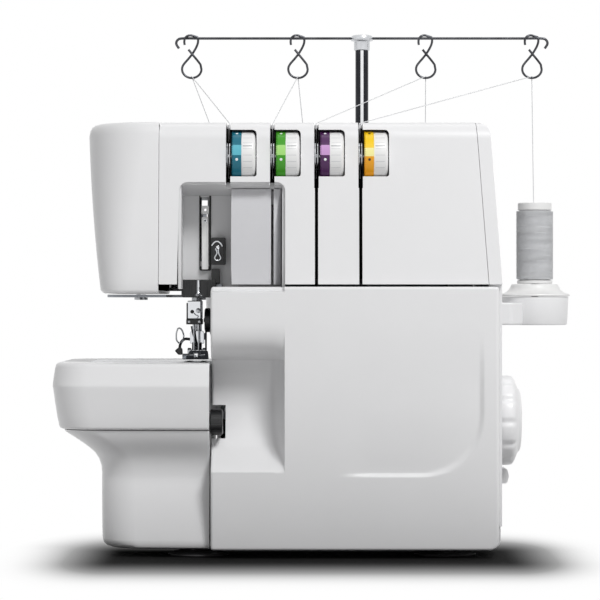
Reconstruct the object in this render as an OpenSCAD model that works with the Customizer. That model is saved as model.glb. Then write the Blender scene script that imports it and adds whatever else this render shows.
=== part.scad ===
// Four-thread overlock sewing machine, as an assembly of separate pieces.
// Frame: +Z up, front of the machine faces -Y, origin on the table under the middle of the machine.

/* [Casing] */
// Right-hand face of the machine body
body_right = 121; // [119:0.5:124]
// Rear face of the machine body
body_rear = 56; // [54:0.5:58]
// Foremost plane, the face of the looper cover
front_y = -112; // [-114:0.5:-111]
// Top of the machine body above the table
body_top = 294; // [292:0.5:298]
// Height of the parting line between looper cover and upper cover
seam_z = 184; // [184:0.5:185]
// Underside of the casing, which is the height of the feet
casing_bottom = 5.5; // [5.5:0.5:6.5]
// Radius of a rubber foot where it meets the table
foot_r = 21; // [16:0.5:21]
// Wall of every moulded cover
wall = 2.5; // [2:0.25:3]

/* [Tension dials] */
// Middle of the first thread slot
slot_first_x = -63.5; // [-64:0.25:-63]
// Distance from one thread slot to the next
slot_pitch = 29.8; // [29:0.1:30]
// Radius of a tension dial
dial_r = 17; // [16:0.25:17.5]
// Height of the tension dial axis
dial_z = 271; // [270:0.5:271]

/* [Thread stand] */
// Sideways place of the telescopic mast
mast_x = 31; // [29:0.5:33]
// Depth of the row of spools behind the body
spool_y = 86; // [86:0.5:88]
// Distance from the mast to an inner spool and its hook
spool_inner = 47.5; // [46:0.5:49]
// Distance from the mast to an outer spool
spool_outer = 128.5; // [126:0.5:129]
// Place of the first spool, drawn in behind the casing
spool_1_x = -60; // [-62:0.5:-59.5]
// Place of the second spool, close to the mast
spool_2_x = -7; // [-9:0.5:-6.5]
// Height of the thread guide bar
guide_bar_z = 368; // [366:0.5:370]
// Radius of a wound spool
spool_r = 13.8; // [12:0.1:15]

/* [Mechanism] */
// Radius of the main shaft
shaft_r = 5; // [4:0.25:5.5]
// Radius of the hand wheel
handwheel_r = 31.5; // [28:0.5:33]
// Sideways place of the needle bar
needle_x = -87; // [-87.5:0.1:-86.5]
// Depth of the needle bar
needle_y = -47; // [-47.5:0.1:-46.5]
// Top of the needle plate and the extension table
bed_z = 131; // [130.5:0.1:131]

/* [Hidden] */
$fn = 64;

// Parting planes and faces
face_seam_x = -110;
end_seam_x = 112;
lean_x = 8;             // how far the right-hand face leans in from seam to top
rear_seam_y = 30;
upper_front_y = -108;
lean_y = 10;            // how far the upper front face leans back from seam to top
column_x = -72;         // left face of the column, beside the needles
gap = 1;                // gap at the door's edges
door_left = -75;
door_right = 118.5;
door_bottom = casing_bottom;
door_top = seam_z - 1.6;
niche_right = -25;
hinge_y = -104;
hinge_z = 16;
tray_front = -92;
tray_brackets = [-40, 60];
table_right = -76;
table_bottom = 86;
recess_left = -97;
recess_right = -25;
recess_top = 253;
recess_back = -70;
shaft_y = -22;
shaft_z = 89;
motor_y = 12;
motor_z = 48;
big_pulley_r = 24;
small_pulley_r = 6;
pulley_x = 97;
dial_y = -88;
presser_y = -28;
foot_z = bed_z + 1.5;   // underside of the foot's sole as it hangs over the plate
knob_z = 159.5;
knife_pivot_y = 0;
knife_pivot_z = 152;
arm_front = -70;
arm_rear = 9;
arm_left = -160;
spool_z = 185.6;
spool_h = 60;
eye_z = 339.75;          // height at which a thread passes over the bottom of its hook
slots_x = [for (i = [0:3]) slot_first_x + slot_pitch * i];
spools_x = [spool_1_x, spool_2_x, mast_x + spool_inner, mast_x + spool_outer];
knob_y = -97;
cut_z = 91;             // height of the cutting width knob
lifter_y = -8;
lifter_z = 222;
feet_xy = [[-84, -80], [84, -80], [-84, 30], [84, 30]];
white = [0.94, 0.94, 0.94];
steel = [0.75, 0.76, 0.78];

// ---- Outline helpers ----

function unit(v) = v / norm(v);

// Points of an arc that rounds corner b of the path a-b-c
function fillet(a, b, c, r, n = 6) = r <= 0 ? [b] :
    let (u = unit(a - b), v = unit(c - b), half = acos(max(-1, min(1, u * v))) / 2,
         d = r / tan(half), middle = b + unit(u + v) * (r / sin(half)),
         s = b + u * d - middle, e = b + v * d - middle,
         a0 = atan2(s[1], s[0]), turn = (atan2(e[1], e[0]) - a0 + 540) % 360 - 180)
    [for (i = [0:n]) middle + r * [cos(a0 + turn * i / n), sin(a0 + turn * i / n)]];

// A closed outline from corners [x, y, corner radius]
function rounded(p) = [for (i = [0:len(p) - 1])
    let (k = len(p), a = p[(i + k - 1) % k], b = p[i], c = p[(i + 1) % k])
    each fillet([a[0], a[1]], [b[0], b[1]], [c[0], c[1]], b[2])];

// Points along a cubic curve from a to d
function curve(a, b, c, d, n = 10) = [for (i = [0:n]) let (t = i / n, s = 1 - t)
    s * s * s * a + 3 * s * s * t * b + 3 * s * t * t * c + t * t * t * d];

// An outline in X and Z, swept along Y
module along_y(y0, y1) translate([0, y1, 0]) rotate([90, 0, 0]) linear_extrude(y1 - y0) children();

// An outline in Y and Z, swept along X
module along_x(x0, x1) translate([x0, 0, 0]) rotate([90, 0, 90]) linear_extrude(x1 - x0) children();

module rod_x(x0, x1, y, z, r, r2 = undef)
    translate([x0, y, z]) rotate([0, 90, 0]) cylinder(h = x1 - x0, r1 = r, r2 = is_undef(r2) ? r : r2);
module rod_y(x, y0, y1, z, r) translate([x, y0, z]) rotate([-90, 0, 0]) cylinder(h = y1 - y0, r = r);
module rod_z(x, y, z0, z1, r, r2 = undef)
    translate([x, y, z0]) cylinder(h = z1 - z0, r1 = r, r2 = is_undef(r2) ? r : r2);
module block(x0, x1, y0, y1, z0, z1) translate([x0, y0, z0]) cube([x1 - x0, y1 - y0, z1 - z0]);

// A round wire along a list of points; side is a direction roughly across the wire
module wire(path, r, side = [0, 1, 0], sides = 8) {
    n = len(path);
    rings = [for (i = [0:n - 1])
        let (t = unit(path[min(i + 1, n - 1)] - path[max(i - 1, 0)]),
             u = unit(side - (side * t) * t), v = cross(t, u))
        for (k = [0:sides - 1]) let (a = 360 * k / sides) path[i] + r * (cos(a) * u + sin(a) * v)];
    walls = [for (i = [0:n - 2]) for (k = [0:sides - 1])
        let (j = (k + 1) % sides)
        [i * sides + k, i * sides + j, (i + 1) * sides + j, (i + 1) * sides + k]];
    first = [for (k = [sides - 1:-1:0]) k];
    last = [for (k = [0:sides - 1]) (n - 1) * sides + k];
    polyhedron(rings, [for (w = concat(walls, [first, last])) [for (m = [len(w) - 1:-1:0]) w[m]]]);
}

// ---- Casing ----

// The solid that bounds the upper casing, taken in by t on its outer faces
module upper_form(t) {
    intersection() {
        along_x(-200, 200) polygon(rounded([
            [upper_front_y + t, 150, 0], [upper_front_y + t, seam_z, 0],
            [upper_front_y + lean_y + t, body_top - t, 14 - t],
            [body_rear - t, body_top - t, 10 - t], [body_rear - t, 150, 0]]));
        children();
    }
}

// Side outline of the upper casing between two X values at the seam, with a lean on either side
module side_outline(x0, x1, lean0, lean1, z0, r0, r1) polygon(rounded([
    [x0, z0, 0], [x1, z0, 0], [x1 + lean1, body_top, r1], [x0 + lean0, body_top, r0]]));

// Moulded tray with the two brackets that carry the looper cover's rod
module base_tray() color([0.85, 0.85, 0.86]) difference() {
    union() {
        difference() {
            block(-69.3, 111.9, tray_front, 53, casing_bottom, casing_bottom + 12);
            block(-66.3, 108.9, tray_front + 3, 50, casing_bottom + 3, casing_bottom + 20);
            for (p = feet_xy) if (p[0] > -70) rod_z(p[0], p[1], 0, 40, 3.2);
        }
        for (x = tray_brackets) {
            block(x, x + 6, hinge_y, tray_front + 3, hinge_z - 3.8, hinge_z + 3.8);
            rod_x(x, x + 6, hinge_y, hinge_z, 3.8);
            block(x, x + 6, tray_front, tray_front + 3, casing_bottom, hinge_z + 3.8);
        }
        for (x = [-50, 74]) block(x, x + 12, -50, 40, casing_bottom, 19.9);
    }
    for (x = tray_brackets) rod_x(x - 1, x + 7, hinge_y, hinge_z, 2.04);
}

// Suction feet with a drawn-in waist
module rubber_feet() color([0.12, 0.12, 0.13]) for (p = feet_xy) difference() {
    union() {
        rod_z(p[0], p[1], 0, 1.2, foot_r);
        rod_z(p[0], p[1], 1.2, 4, foot_r, 12);
        rod_z(p[0], p[1], 4, casing_bottom, 12, 14);
    }
    rod_z(p[0], p[1], 2.5, casing_bottom + 1, 3.2);
}

module main_frame() color([0.62, 0.63, 0.65]) difference() {
    union() {
        block(-60, 92, -60, 44, 20, 26);
        for (x = [-58, 76]) block(x, x + 8, -55, 40, 26, 170);
        block(-60, 92, 36, 44, 20, 256);
        for (z = [198, 246]) block(-104, -60, -60, 44, z, z + 8);
        rod_z(needle_x, presser_y, 254, 272, 9);
        block(-104, -96, -15, 44, 206, 246);
        block(-68, -60, -15, 44, 206, 246);
        for (y = [-56, 10]) block(-69, -57, y, y + 6, 91, 105);
        rod_x(-69, -50, knife_pivot_y, knife_pivot_z, 6);
        rod_x(6, 30, motor_y, motor_z, 12);
        block(6, 12, -4, 40, 26, 60);
        for (x = [0, 62]) block(x - 8, x + 8, 43, body_rear - wall - 0.1, 151, 175);
    }
    rod_x(-61, 95, shaft_y, shaft_z, 8);
    for (y = [needle_y, presser_y]) rod_z(needle_x, y, 190, 260, 6);
    rod_z(needle_x, presser_y, 254, 280, shaft_r + 0.05);
    rod_x(-70, -52, knife_pivot_y, knife_pivot_z, 3.05);
    rod_x(5, 31, motor_y, motor_z, 8);
    rod_x(70, 90, motor_y, motor_z, 5);
    rod_x(-105, -59, lifter_y, lifter_z, 3.05);
    rod_y(-64, -60, 20, 98, 3.05);
}

module rear_cover() color(white) difference() {
    union() {
        upper_form(0) along_y(rear_seam_y, 80)
            side_outline(face_seam_x, end_seam_x, 0, -lean_x, seam_z - 4, 0, 0);
        block(column_x, end_seam_x, rear_seam_y, body_rear, casing_bottom, seam_z + 4);
        block(column_x, column_x + wall, -66, rear_seam_y + 5, 20, seam_z - 3);
    }
    upper_form(wall) along_y(0, 80) side_outline(-200, 200, 0, 0, seam_z - 4 + wall, 0, 0);
    block(column_x + wall, 200, 0, body_rear - wall, 0, seam_z + 20);
    block(column_x - 1, column_x + wall + 1, -60, 5, 92, 127);
    rod_x(column_x - 2, column_x + 6, knife_pivot_y, knife_pivot_z, 7);
    // ventilation slots, and the slot that the presser lifter swings in
    for (i = [0:5]) block(20 + 7 * i, 23 + 7 * i, 40, 60, 30, 70);
    block(needle_x - 6.5, needle_x + 4.5, 40, 60, 198, 252);
}

module right_end_cover() color(white) difference() {
    intersection() {
        along_y(-110, body_rear) polygon(rounded([
            [end_seam_x, casing_bottom, 0], [body_right, casing_bottom, 5], [body_right, seam_z, 0],
            [body_right - lean_x, body_top, 8], [end_seam_x - lean_x, body_top, 0],
            [end_seam_x, seam_z, 0]]));
        along_x(90, 140) polygon(rounded([
            [-104, casing_bottom, 0], [-104, seam_z, 0], [upper_front_y, seam_z, 0],
            [upper_front_y + lean_y, body_top, 14], [body_rear, body_top, 10],
            [body_rear, casing_bottom, 5]]));
    }
    intersection() {
        along_y(-110, body_rear - wall) polygon(rounded([
            [end_seam_x - 9, casing_bottom + wall, 0], [body_right - wall, casing_bottom + wall, 3],
            [body_right - wall, seam_z, 0], [body_right - lean_x - wall, body_top - wall, 6],
            [end_seam_x - lean_x - 9, body_top - wall, 0], [end_seam_x - 9, seam_z, 0]]));
        along_x(90, 140) polygon(rounded([
            [-101.5, casing_bottom, 0], [-101.5, seam_z + wall, 0],
            [upper_front_y + wall, seam_z + wall, 0],
            [upper_front_y + lean_y + wall, body_top - wall, 12],
            [body_rear - wall, body_top - wall, 8], [body_rear - wall, casing_bottom, 3]]));
    }
    rod_x(100, 140, shaft_y, shaft_z, 9);
    for (i = [0:3]) block(110, 130, 14, 40, 156 + 7 * i, 159 + 7 * i);
    block(110, 130, -6, 22, 41, 56);
    block(110, 130, 26, 46, 36, 56);
    for (z = [124, 150]) rod_x(110, 130, 10, z, 4.1);
    // room for the foot of the looper cover as it swings down
    block(100, 130, -106, -91, 0, 21);
}

module dial_window(x) {
    block(x + 1.4, x + 19.2, -130, -70, dial_z - 14.2, dial_z + 17.6);
}

module upper_front_cover() color(white) difference() {
    upper_form(0) along_y(-140, rear_seam_y)
        side_outline(face_seam_x, end_seam_x, 0, -lean_x, seam_z, 0, 0);
    upper_form(wall) along_y(-140, 80) side_outline(-200, 200, 0, 0, 150, 0, 0);
    along_y(-140, -90) polygon(rounded([
        [recess_left, 150, 0], [recess_right, 150, 0],
        [recess_right, recess_top, 6], [recess_left, recess_top, 6]]));
    for (x = slots_x) {
        dial_window(x);
        block(x - 1.5, x + 1.5, -130, -62, 249, 300);
    }
    for (i = [2, 3]) block(slots_x[i] - 0.9, slots_x[i] + 0.9, -130, -90, 150, 250);
    rod_z(-87, -28, 280, 300, 7.2);
}

// Left end of the head, a five-sided cap that tapers towards the bottom
module face_form(t) intersection() {
    along_y(-140, 80) polygon(rounded([
        [-150 + t, 178 + t, 6 - t], [-161 + t, body_top - t, 5 - t],
        [face_seam_x - 0.3 + 3 * t, body_top - t, 0], [face_seam_x - 0.3 + 3 * t, 178 + t, 0]]));
    along_x(-200, 0) polygon(rounded([
        [-105 + t, 178 + t, 3], [-107.5 + t, 190, 0], [-98 + t, body_top - t, 14 - t],
        [body_rear - t, body_top - t, 10 - t], [body_rear - t, 178 + t, 6]]));
    along_z_round(t);
}

// Plan outline of the face cover, with the big round corners that the head has in plan
module along_z_round(t) translate([0, 0, 100]) linear_extrude(300) polygon(rounded([
    [-161 + t, -107.5 + t, 40], [0, -107.5 + t, 0], [0, body_rear - t, 0], [-161 + t, body_rear - t, 20]]));

module face_cover() color(white) difference() {
    face_form(0);
    face_form(wall);
}

module head_bottom_plate() color([0.25, 0.25, 0.27]) difference() {
    translate([0, 0, 175.4]) linear_extrude(1.8) polygon(rounded([
        [-147, -84, 14], [-106, -84, 0], [-106, -8, 0], [-74, -8, 0], [-74, 48, 0], [-147, 48, 10]]));
    for (p = [[-128, -30], [-128, 30], [-86, 30]]) rod_z(p[0], p[1], 170, 180, 1.8);
}

module needle_recess() color([0.88, 0.88, 0.89]) difference() {
    block(recess_left, recess_right, -104, recess_back + 2, 181, recess_top);
    block(recess_left + 2, recess_right - 2, -110, recess_back, 170, recess_top - 8);
    along_x(recess_left + 2, recess_right - 2) polygon([
        [-110, 230], [recess_back, recess_top - 9], [-100, recess_top - 1.5], [-110, recess_top - 1]]);
    upper_cut_for_recess();
    block(-83.5, -77.5, -75, -60, 200, 244);
    for (i = [0, 1]) block(slots_x[i] - 1.5, slots_x[i] + 1.5, -110, -90, 240, 260);
}

// Keeps the recess behind the leaning front face
module upper_cut_for_recess() along_x(-120, 0) polygon([
    [-140, 150], [upper_front_y + wall + 0.2, 150], [upper_front_y + wall + 0.2, seam_z],
    [upper_front_y + lean_y + wall + 0.2, body_top], [-140, body_top]]);

module thread_guide_cover() color([0.9, 0.9, 0.91]) difference() {
    intersection() {
        along_x(-61.5, recess_right - 2.3) polygon(concat(
            curve([-103, 184], [-101, 205], [-96, 232], [-91.5, 248.7]),
            [[-72.5, 244.1], [-72.5, 184]]));
        translate([0, 0, 170]) linear_extrude(90) polygon(rounded([
            [-61.5, -72.5, 0], [-61.5, -104, 3], [-36, -104, 3],
            [recess_right - 2.3, -90, 8], [recess_right - 2.3, -72.5, 0]]));
    }
    block(-59.5, recess_right - 4.5, -88, -60, 150, 238);
    block(slots_x[1] - 0.9, slots_x[1] + 0.9, -110, -86, 170, 250);
}

// Pedestal under the extension table: flared at its top, with the corners drawn in
module left_base_form(t) intersection() {
    along_y(-140, 80) polygon(concat(
        [[table_right - t, table_bottom - 0.6 - t], [-177 + t, table_bottom - 0.6 - t]],
        curve([-176 + t, 83], [-163 + t, 75], [-152 + t, 70], [-151 + t, 54]),
        fillet([-151 + t, 54], [-151 + t, casing_bottom + t], [table_right - t, casing_bottom + t], 6),
        [[table_right - t, casing_bottom + t]]));
    along_x(-200, 0) polygon(concat(
        [[50 - t, table_bottom - 0.6 - t], [-105 + t, table_bottom - 0.6 - t]],
        curve([-105 + t, 82], [-103 + t, 70], [-95 + t, 64], [-94 + t, 54]),
        fillet([-94 + t, 54], [-106 + t, casing_bottom + t], [50, casing_bottom + t], 4),
        fillet([-100, casing_bottom + t], [50 - t, casing_bottom + t], [50 - t, 60], 6)));
    union() {
        translate([0, 0, -10]) linear_extrude(76 + t) polygon(rounded([
            [-151 + t, -106 + t, 26], [0, -106 + t, 0], [0, 50 - t, 0], [-151 + t, 50 - t, 20]]));
        translate([0, 0, 66 + t]) linear_extrude(100) polygon(rounded([
            [-178 + t, -107 + t, 26], [0, -107 + t, 0], [0, 50 - t, 0], [-178 + t, 50 - t, 22]]));
    }
}

module left_base_cover() color(white) difference() {
    left_base_form(0);
    left_base_form(wall);
    for (p = feet_xy) if (p[0] < -70) rod_z(p[0], p[1], 0, 12, 3.2);
}

// Free arm, with the lug that carries the cutting width knob at its front
module free_arm_cover() color(white) difference() {
    union() {
        block(arm_left, column_x - 0.5, arm_front, arm_rear, table_bottom, bed_z - 2);
        block(-84, table_right - 0.2, knob_y - 5, arm_front + 1, cut_z - 2.2, cut_z + 6);
    }
    block(arm_left + wall, column_x + 5, arm_front + wall, arm_rear - wall,
        table_bottom + wall, bed_z - 2 - wall);
    block(-118, column_x + 5, arm_front + 5, arm_rear - 5, 120, 140);
    rod_x(-85, table_right + 1, knob_y, cut_z, 1.53);
    for (p = [[-150, -60], [-150, 0], [-123, 0]]) rod_z(p[0], p[1], 120, 140, 1.6);
    // bearings of the lower looper and of the feed carrier
    rod_y(-118, arm_front - 1, arm_rear + 1, 100, 3.05);
    rod_y(-87, 0, arm_rear + 1, 113, 3.05);
}

// Tongue slots and needle hole are cut right through the plate
module needle_plate() color(steel) difference() {
    block(arm_left, column_x - 3.2, arm_front, arm_rear, bed_z - 1.9, bed_z);
    block(needle_x - 4, needle_x + 4.5, needle_y - 4, needle_y + 4, 120, 140);
    for (x = [-93.6, -83.9]) block(x, x + 3.8, -63, -25, 120, 140);
    block(-78.2, column_x, -60, -36, 120, 140);
    for (p = [[-150, -60], [-150, 0], [-123, 0]]) rod_z(p[0], p[1], 120, 140, 1.6);
}

module thread_channels() color([0.06, 0.06, 0.07]) for (i = [0:3]) {
    x = slots_x[i];
    foot = i < 2 ? 254 : 188;
    difference() {
        upper_form(wall + 0.3) block(x - 3, x + 3, -105, -62, foot, 300);
        block(x - 1.5, x + 1.5, -120, -66, foot - 1, 300);
        rod_x(x - 4, x + 4, dial_y, dial_z, 1.6);
        block(x + 1.6, x + 4, -120, -60, dial_z - 17.5, dial_z + 30);
    }
}

module casing_screws() color(steel) {
    for (p = [[-150, -60], [-150, 0], [-123, 0]]) difference() {
        rod_z(p[0], p[1], 124, bed_z - 0.1, 1.5);
        block(p[0] - 2, p[0] + 2, p[1] - 0.3, p[1] + 0.3, bed_z - 0.7, bed_z);
    }
    for (p = [[-128, -30], [-128, 30], [-86, 30]]) {
        rod_z(p[0], p[1], 173.6, 175.3, 3);
        rod_z(p[0], p[1], 175.3, 177.6, 1.6);
    }
}

// ---- Extension table ----

module table_form(t) intersection() {
    along_y(-140, 80) polygon(rounded([
        [-179 + t, table_bottom + t, 2], [-184 + t, 118, 6], [-182 + t, bed_z - t, 3],
        [table_right, bed_z - t, 0], [table_right, table_bottom + t, 0]]));
    along_x(-200, 0) polygon(rounded([
        [-107 + t, table_bottom + t, 2], [-109 + t, 115, 3], [-104 + t, bed_z - t, 3],
        [46 - t, bed_z - t, 3], [47 - t, table_bottom + t, 2]]));
    translate([0, 0, 50]) linear_extrude(120) polygon(rounded([
        [-186 + t, -112 + t, 30], [0, -112 + t, 0], [0, 50 - t, 0], [-186 + t, 50 - t, 30]]));
}

module extension_table() color(white) difference() {
    table_form(0);
    difference() {
        table_form(wall);
        block(arm_left - 0.5 - wall, 0, arm_front - 0.5 - wall, arm_rear + 0.5 + wall, 0, 200);
    }
    block(arm_left - 0.5, 0, arm_front - 0.5, arm_rear + 0.5, 0, 200);
    block(-85, 0, knob_y - 6, arm_front, table_bottom + wall, cut_z + 7);
}

// ---- Looper cover ----

module cover_hinge_rod() color(steel) {
    rod_x(-66, 108, hinge_y, hinge_z, 2);
}

// Depth outline of the sculpted left end: a round nose above a scooped niche
function niche_face(t) = concat(
    curve([front_y + t, 158], [front_y + t, 143], [front_y + 9 + t, 133 + t], [front_y + 26 + t, 133 + t]),
    curve([front_y + 30 + t, 128], [front_y + 33 + t, 112], [front_y + 32 + t, 98], [front_y + 24 + t, 82]),
    curve([front_y + 22 + t, 78], [front_y + 15 + t, 69], [front_y + 6 + t, 64], [front_y + t, 58]));

module looper_cover() color(white) difference() {
    union() {
        // face, right of the niche and above and below it
        along_y(front_y, front_y + wall) polygon(rounded([
            [door_left, door_bottom, 0], [door_right, door_bottom, 6],
            [door_right, door_top, 2], [door_left, door_top, 2]]));
        // flanges round the edge
        block(door_left, door_right - 4, front_y + 1, front_y + 7, door_top - wall, door_top);
        block(door_left, door_right - 6, front_y + 1, front_y + 6, door_bottom, door_bottom + wall);
        block(door_right - wall, door_right, front_y + 1, front_y + 6, door_bottom + 6, door_top - 2);
        // scooped skin of nose and niche
        along_x(door_left, niche_right) polygon(concat(
            [[front_y + 0.1, 158]], niche_face(0.1), [for (p = reverse(niche_face(wall))) p]));
        // cheek that closes the niche on the right
        along_x(niche_right - wall, niche_right) polygon(concat(
            [[front_y, 160]], niche_face(wall), [[front_y, 58]]));
        // hinge ears, which turn on the rod
        for (x = [-60, 30, 96]) {
            rod_x(x, x + 8, hinge_y, hinge_z, 4.2);
            block(x, x + 8, front_y + 1, hinge_y, hinge_z - 3, hinge_z + 3);
        }
    }
    // the niche, cut through the face
    along_x(door_left - 1, niche_right - wall) polygon(concat(
        [[front_y - 5, 158]], niche_face(0), [[front_y - 5, 58]]));
    rod_x(-70, 120, hinge_y, hinge_z, 2.04);
    // clearance round the cutting width knob and the tray's brackets
    block(door_left - 1, -65.3, front_y + 1, -60, 79.2, 102.4);
    for (x = tray_brackets) block(x - 9, x + 7, front_y + wall, -90, 0, 13);
}

function reverse(v) = [for (i = [len(v) - 1:-1:0]) v[i]];

// ---- Controls ----

module handwheel() color(white) difference() {
    union() {
        translate([body_right + 3, shaft_y, shaft_z]) rotate([0, 90, 0]) rotate_extrude()
            polygon(rounded([[0, 0, 0], [handwheel_r - 2, 0, 1], [handwheel_r, 4, 1],
                [handwheel_r, 9, 2], [handwheel_r - 8, 14, 4], [0, 16, 0]]));
        rod_x(116, body_right + 4, shaft_y, shaft_z, 8);
    }
    rod_x(100, 132, shaft_y, shaft_z, shaft_r + 0.02);
    translate([body_right + 3, shaft_y, shaft_z]) for (i = [0:11]) rotate([30 * i, 0, 0])
        translate([-1, 0, handwheel_r + 1.2]) rotate([0, 90, 0]) cylinder(h = 20, r = 2.4);
}

module power_inlet() color([0.2, 0.2, 0.22]) difference() {
    union() {
        block(108, body_right, 26.3, 45.7, 36.3, 55.7);
        block(body_right, body_right + 1.5, 24, 48, 34, 58);
    }
    block(110, body_right + 3, 29, 43, 40, 52);
}

module power_switch() color([0.93, 0.93, 0.93]) difference() {
    along_x_switch();
    rod_y(body_right - 3, -10, 30, 48.5, 1.6);
}

// Rocker that stands proud of the right-hand face
module along_x_switch() along_y(-4.5, 20.5) polygon(rounded([
    [body_right - 6, 43.2, 0], [body_right + 11, 43.2, 2], [body_right + 12.5, 48.5, 6],
    [body_right + 11, 53.8, 2], [body_right - 6, 53.8, 0]]));

module side_dial(z) color([0.9, 0.9, 0.9]) union() {
    difference() {
        rod_x(body_right + 0.5, body_right + 4, 10, z, 11);
        for (i = [0:23]) translate([0, 10, z]) rotate([15 * i, 0, 0])
            translate([0, 0, 11.3]) rod_x(body_right, body_right + 5, 0, 0, 0.8);
    }
    rod_x(body_right - 8, body_right + 0.6, 10, z, 4);
}
module stitch_length_dial() side_dial(150);
module differential_dial() side_dial(124);

module cutting_width_knob() color([0.08, 0.08, 0.09]) union() {
    difference() {
        rod_x(table_right + 0.4, -67, knob_y, cut_z, 8.8);
        for (i = [0:17]) translate([0, knob_y, cut_z]) rotate([20 * i, 0, 0])
            translate([0, 0, 9.1]) rod_x(-80, -60, 0, 0, 0.7);
    }
    rod_x(-83, table_right + 1, knob_y, cut_z, 1.5);
}

// ---- Thread tension units ----

// One dial: a coloured number ring, a white scale drum and fine grip ribs
module tension_dial(i, tint) {
    x = slots_x[i];
    color(tint) difference() {
        union() {
            rod_x(x + 2.4, x + 8, dial_y, dial_z, dial_r);
            rod_x(x + 8, x + 18, dial_y, dial_z, dial_r - 0.3);
        }
        rod_x(x, x + 20, dial_y, dial_z, 1.6);
    }
}
module tension_dial_blue() tension_dial(0, [0.05, 0.5, 0.6]);
module tension_dial_green() tension_dial(1, [0.35, 0.7, 0.15]);
module tension_dial_purple() tension_dial(2, [0.4, 0.15, 0.4]);
module tension_dial_yellow() tension_dial(3, [0.98, 0.8, 0.05]);

// Each post carries its dial and the two discs that pinch the thread
module tension_posts() color(steel) for (x = slots_x) {
    rod_x(x - 3.4, x + 19.4, dial_y, dial_z, 1.55);
    rod_x(x + 19.4, x + 21, dial_y, dial_z, 3);
    for (s = [-1.2, 0.5]) difference() {
        rod_x(x + s, x + s + 0.7, dial_y, dial_z, 9);
        rod_x(x - 2, x + 2, dial_y, dial_z, 1.6);
    }
}

// ---- Drive ----

module main_shaft() color(steel) union() {
    rod_x(-62, 131, shaft_y, shaft_z, shaft_r);
    rod_x(-44, -34, shaft_y + 1.5, shaft_z, 10);
    rod_x(-24, -14, shaft_y - 1.5, shaft_z, 10);
    rod_x(4, 14, shaft_y, shaft_z + 1.5, 10);
}

module bushes() color([0.72, 0.55, 0.3]) {
    for (x = [-58, 76]) difference() {
        rod_x(x - 1, x + 9, shaft_y, shaft_z, 7.98);
        rod_x(x - 3, x + 12, shaft_y, shaft_z, shaft_r + 0.04);
    }
    for (z = [198, 246]) for (y = [needle_y, presser_y]) difference() {
        rod_z(needle_x, y, z, z + 8, 5.98);
        rod_z(needle_x, y, z - 1, z + 9, 3.24);
    }
}

module drive_pulley() color([0.2, 0.2, 0.21]) difference() {
    union() {
        rod_x(pulley_x, pulley_x + 8, shaft_y, shaft_z, big_pulley_r);
        rod_x(pulley_x - 1.5, pulley_x, shaft_y, shaft_z, big_pulley_r + 2);
        rod_x(pulley_x + 8, pulley_x + 9, shaft_y, shaft_z, big_pulley_r + 2);
    }
    rod_x(90, 120, shaft_y, shaft_z, shaft_r + 0.02);
}

module motor() color([0.3, 0.31, 0.33]) difference() {
    union() {
        rod_x(30.2, 74, motor_y, motor_z, 20);
        rod_x(14, 30.2, motor_y, motor_z, 7.98);
    }
    rod_x(40, 90, motor_y, motor_z, 2.05);
}

module motor_pulley() color([0.6, 0.6, 0.62]) union() {
    rod_x(41, 106, motor_y, motor_z, 2);
    rod_x(pulley_x, pulley_x + 8, motor_y, motor_z, small_pulley_r);
    rod_x(pulley_x + 8, pulley_x + 9, motor_y, motor_z, small_pulley_r + 1.5);
    rod_x(pulley_x - 1.5, pulley_x, motor_y, motor_z, small_pulley_r + 1.5);
}

// Outline of the belt loop, clear of both pulleys by c, from the two arcs it wraps
function belt_loop(c) =
    let (a = [shaft_y, shaft_z], b = [motor_y, motor_z], ra = big_pulley_r + c, rb = small_pulley_r + c,
         d = norm(b - a), dir = atan2(b[1] - a[1], b[0] - a[0]), spread = acos((ra - rb) / d))
    concat(
        [for (i = [0:30]) let (w = dir + spread + (360 - 2 * spread) * i / 30) a + ra * [cos(w), sin(w)]],
        [for (i = [0:12]) let (w = dir - spread + 2 * spread * i / 12) b + rb * [cos(w), sin(w)]]);

module drive_belt() color([0.1, 0.1, 0.11]) difference() {
    along_x(pulley_x + 1, pulley_x + 7) polygon(belt_loop(1.7));
    along_x(pulley_x, pulley_x + 8) polygon(belt_loop(0.2));
}

// ---- Needle and presser ----

module needle_bar() color(steel) rod_z(needle_x, needle_y, 168, 270, 3.2);

module needle_clamp() color([0.86, 0.87, 0.89]) difference() {
    union() {
        block(needle_x - 6, needle_x + 4.6, needle_y - 6, needle_y + 6, 158, 173);
        block(needle_x - 7, needle_x + 4.8, needle_y - 7, needle_y + 7, 156.5, 160);
        for (x = [-1.7, 1.7]) rod_y(needle_x + x, needle_y - 9.5, needle_y - 6, 162.5, 1.4);
    }
    rod_z(needle_x, needle_y, 167.6, 175, 3.22);
    for (x = [-1.6, 1.6]) rod_z(needle_x + x, needle_y, 150, 167.8, 1.05);
}

module needles() color(steel) for (x = [-1.6, 1.6]) {
    rod_z(needle_x + x, needle_y, 152, 167, 1);
    rod_z(needle_x + x, needle_y, 137, 152, 0.6);
    rod_z(needle_x + x, needle_y, 134, 137, 0.1, 0.6);
}

// Lever that rises and falls in the slot of the needle recess, with two thread eyes
module take_up_lever() color([0.9, 0.9, 0.91]) difference() {
    union() {
        block(-82.6, -78.4, recess_back - 4, recess_back - 1, 194, 236);
        block(-82, -79, recess_back - 3, -63.5, 224, 228);
        rod_x(-82, -79, -63.5, 226, 3);
    }
    for (z = [199, 231.5]) rod_y(-80.5, -80, -60, z, 0.9);
}

// The bracket on the bar rests over the lifter's cam
module presser_bar() color(steel) union() {
    rod_z(needle_x, presser_y, 145, 255, 3.2);
    block(needle_x - 4, needle_x + 4, presser_y - 5, -15, 230, 236);
    block(needle_x - 3, needle_x + 3, -15, lifter_y + 0.5, 230, 236);
}

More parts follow.
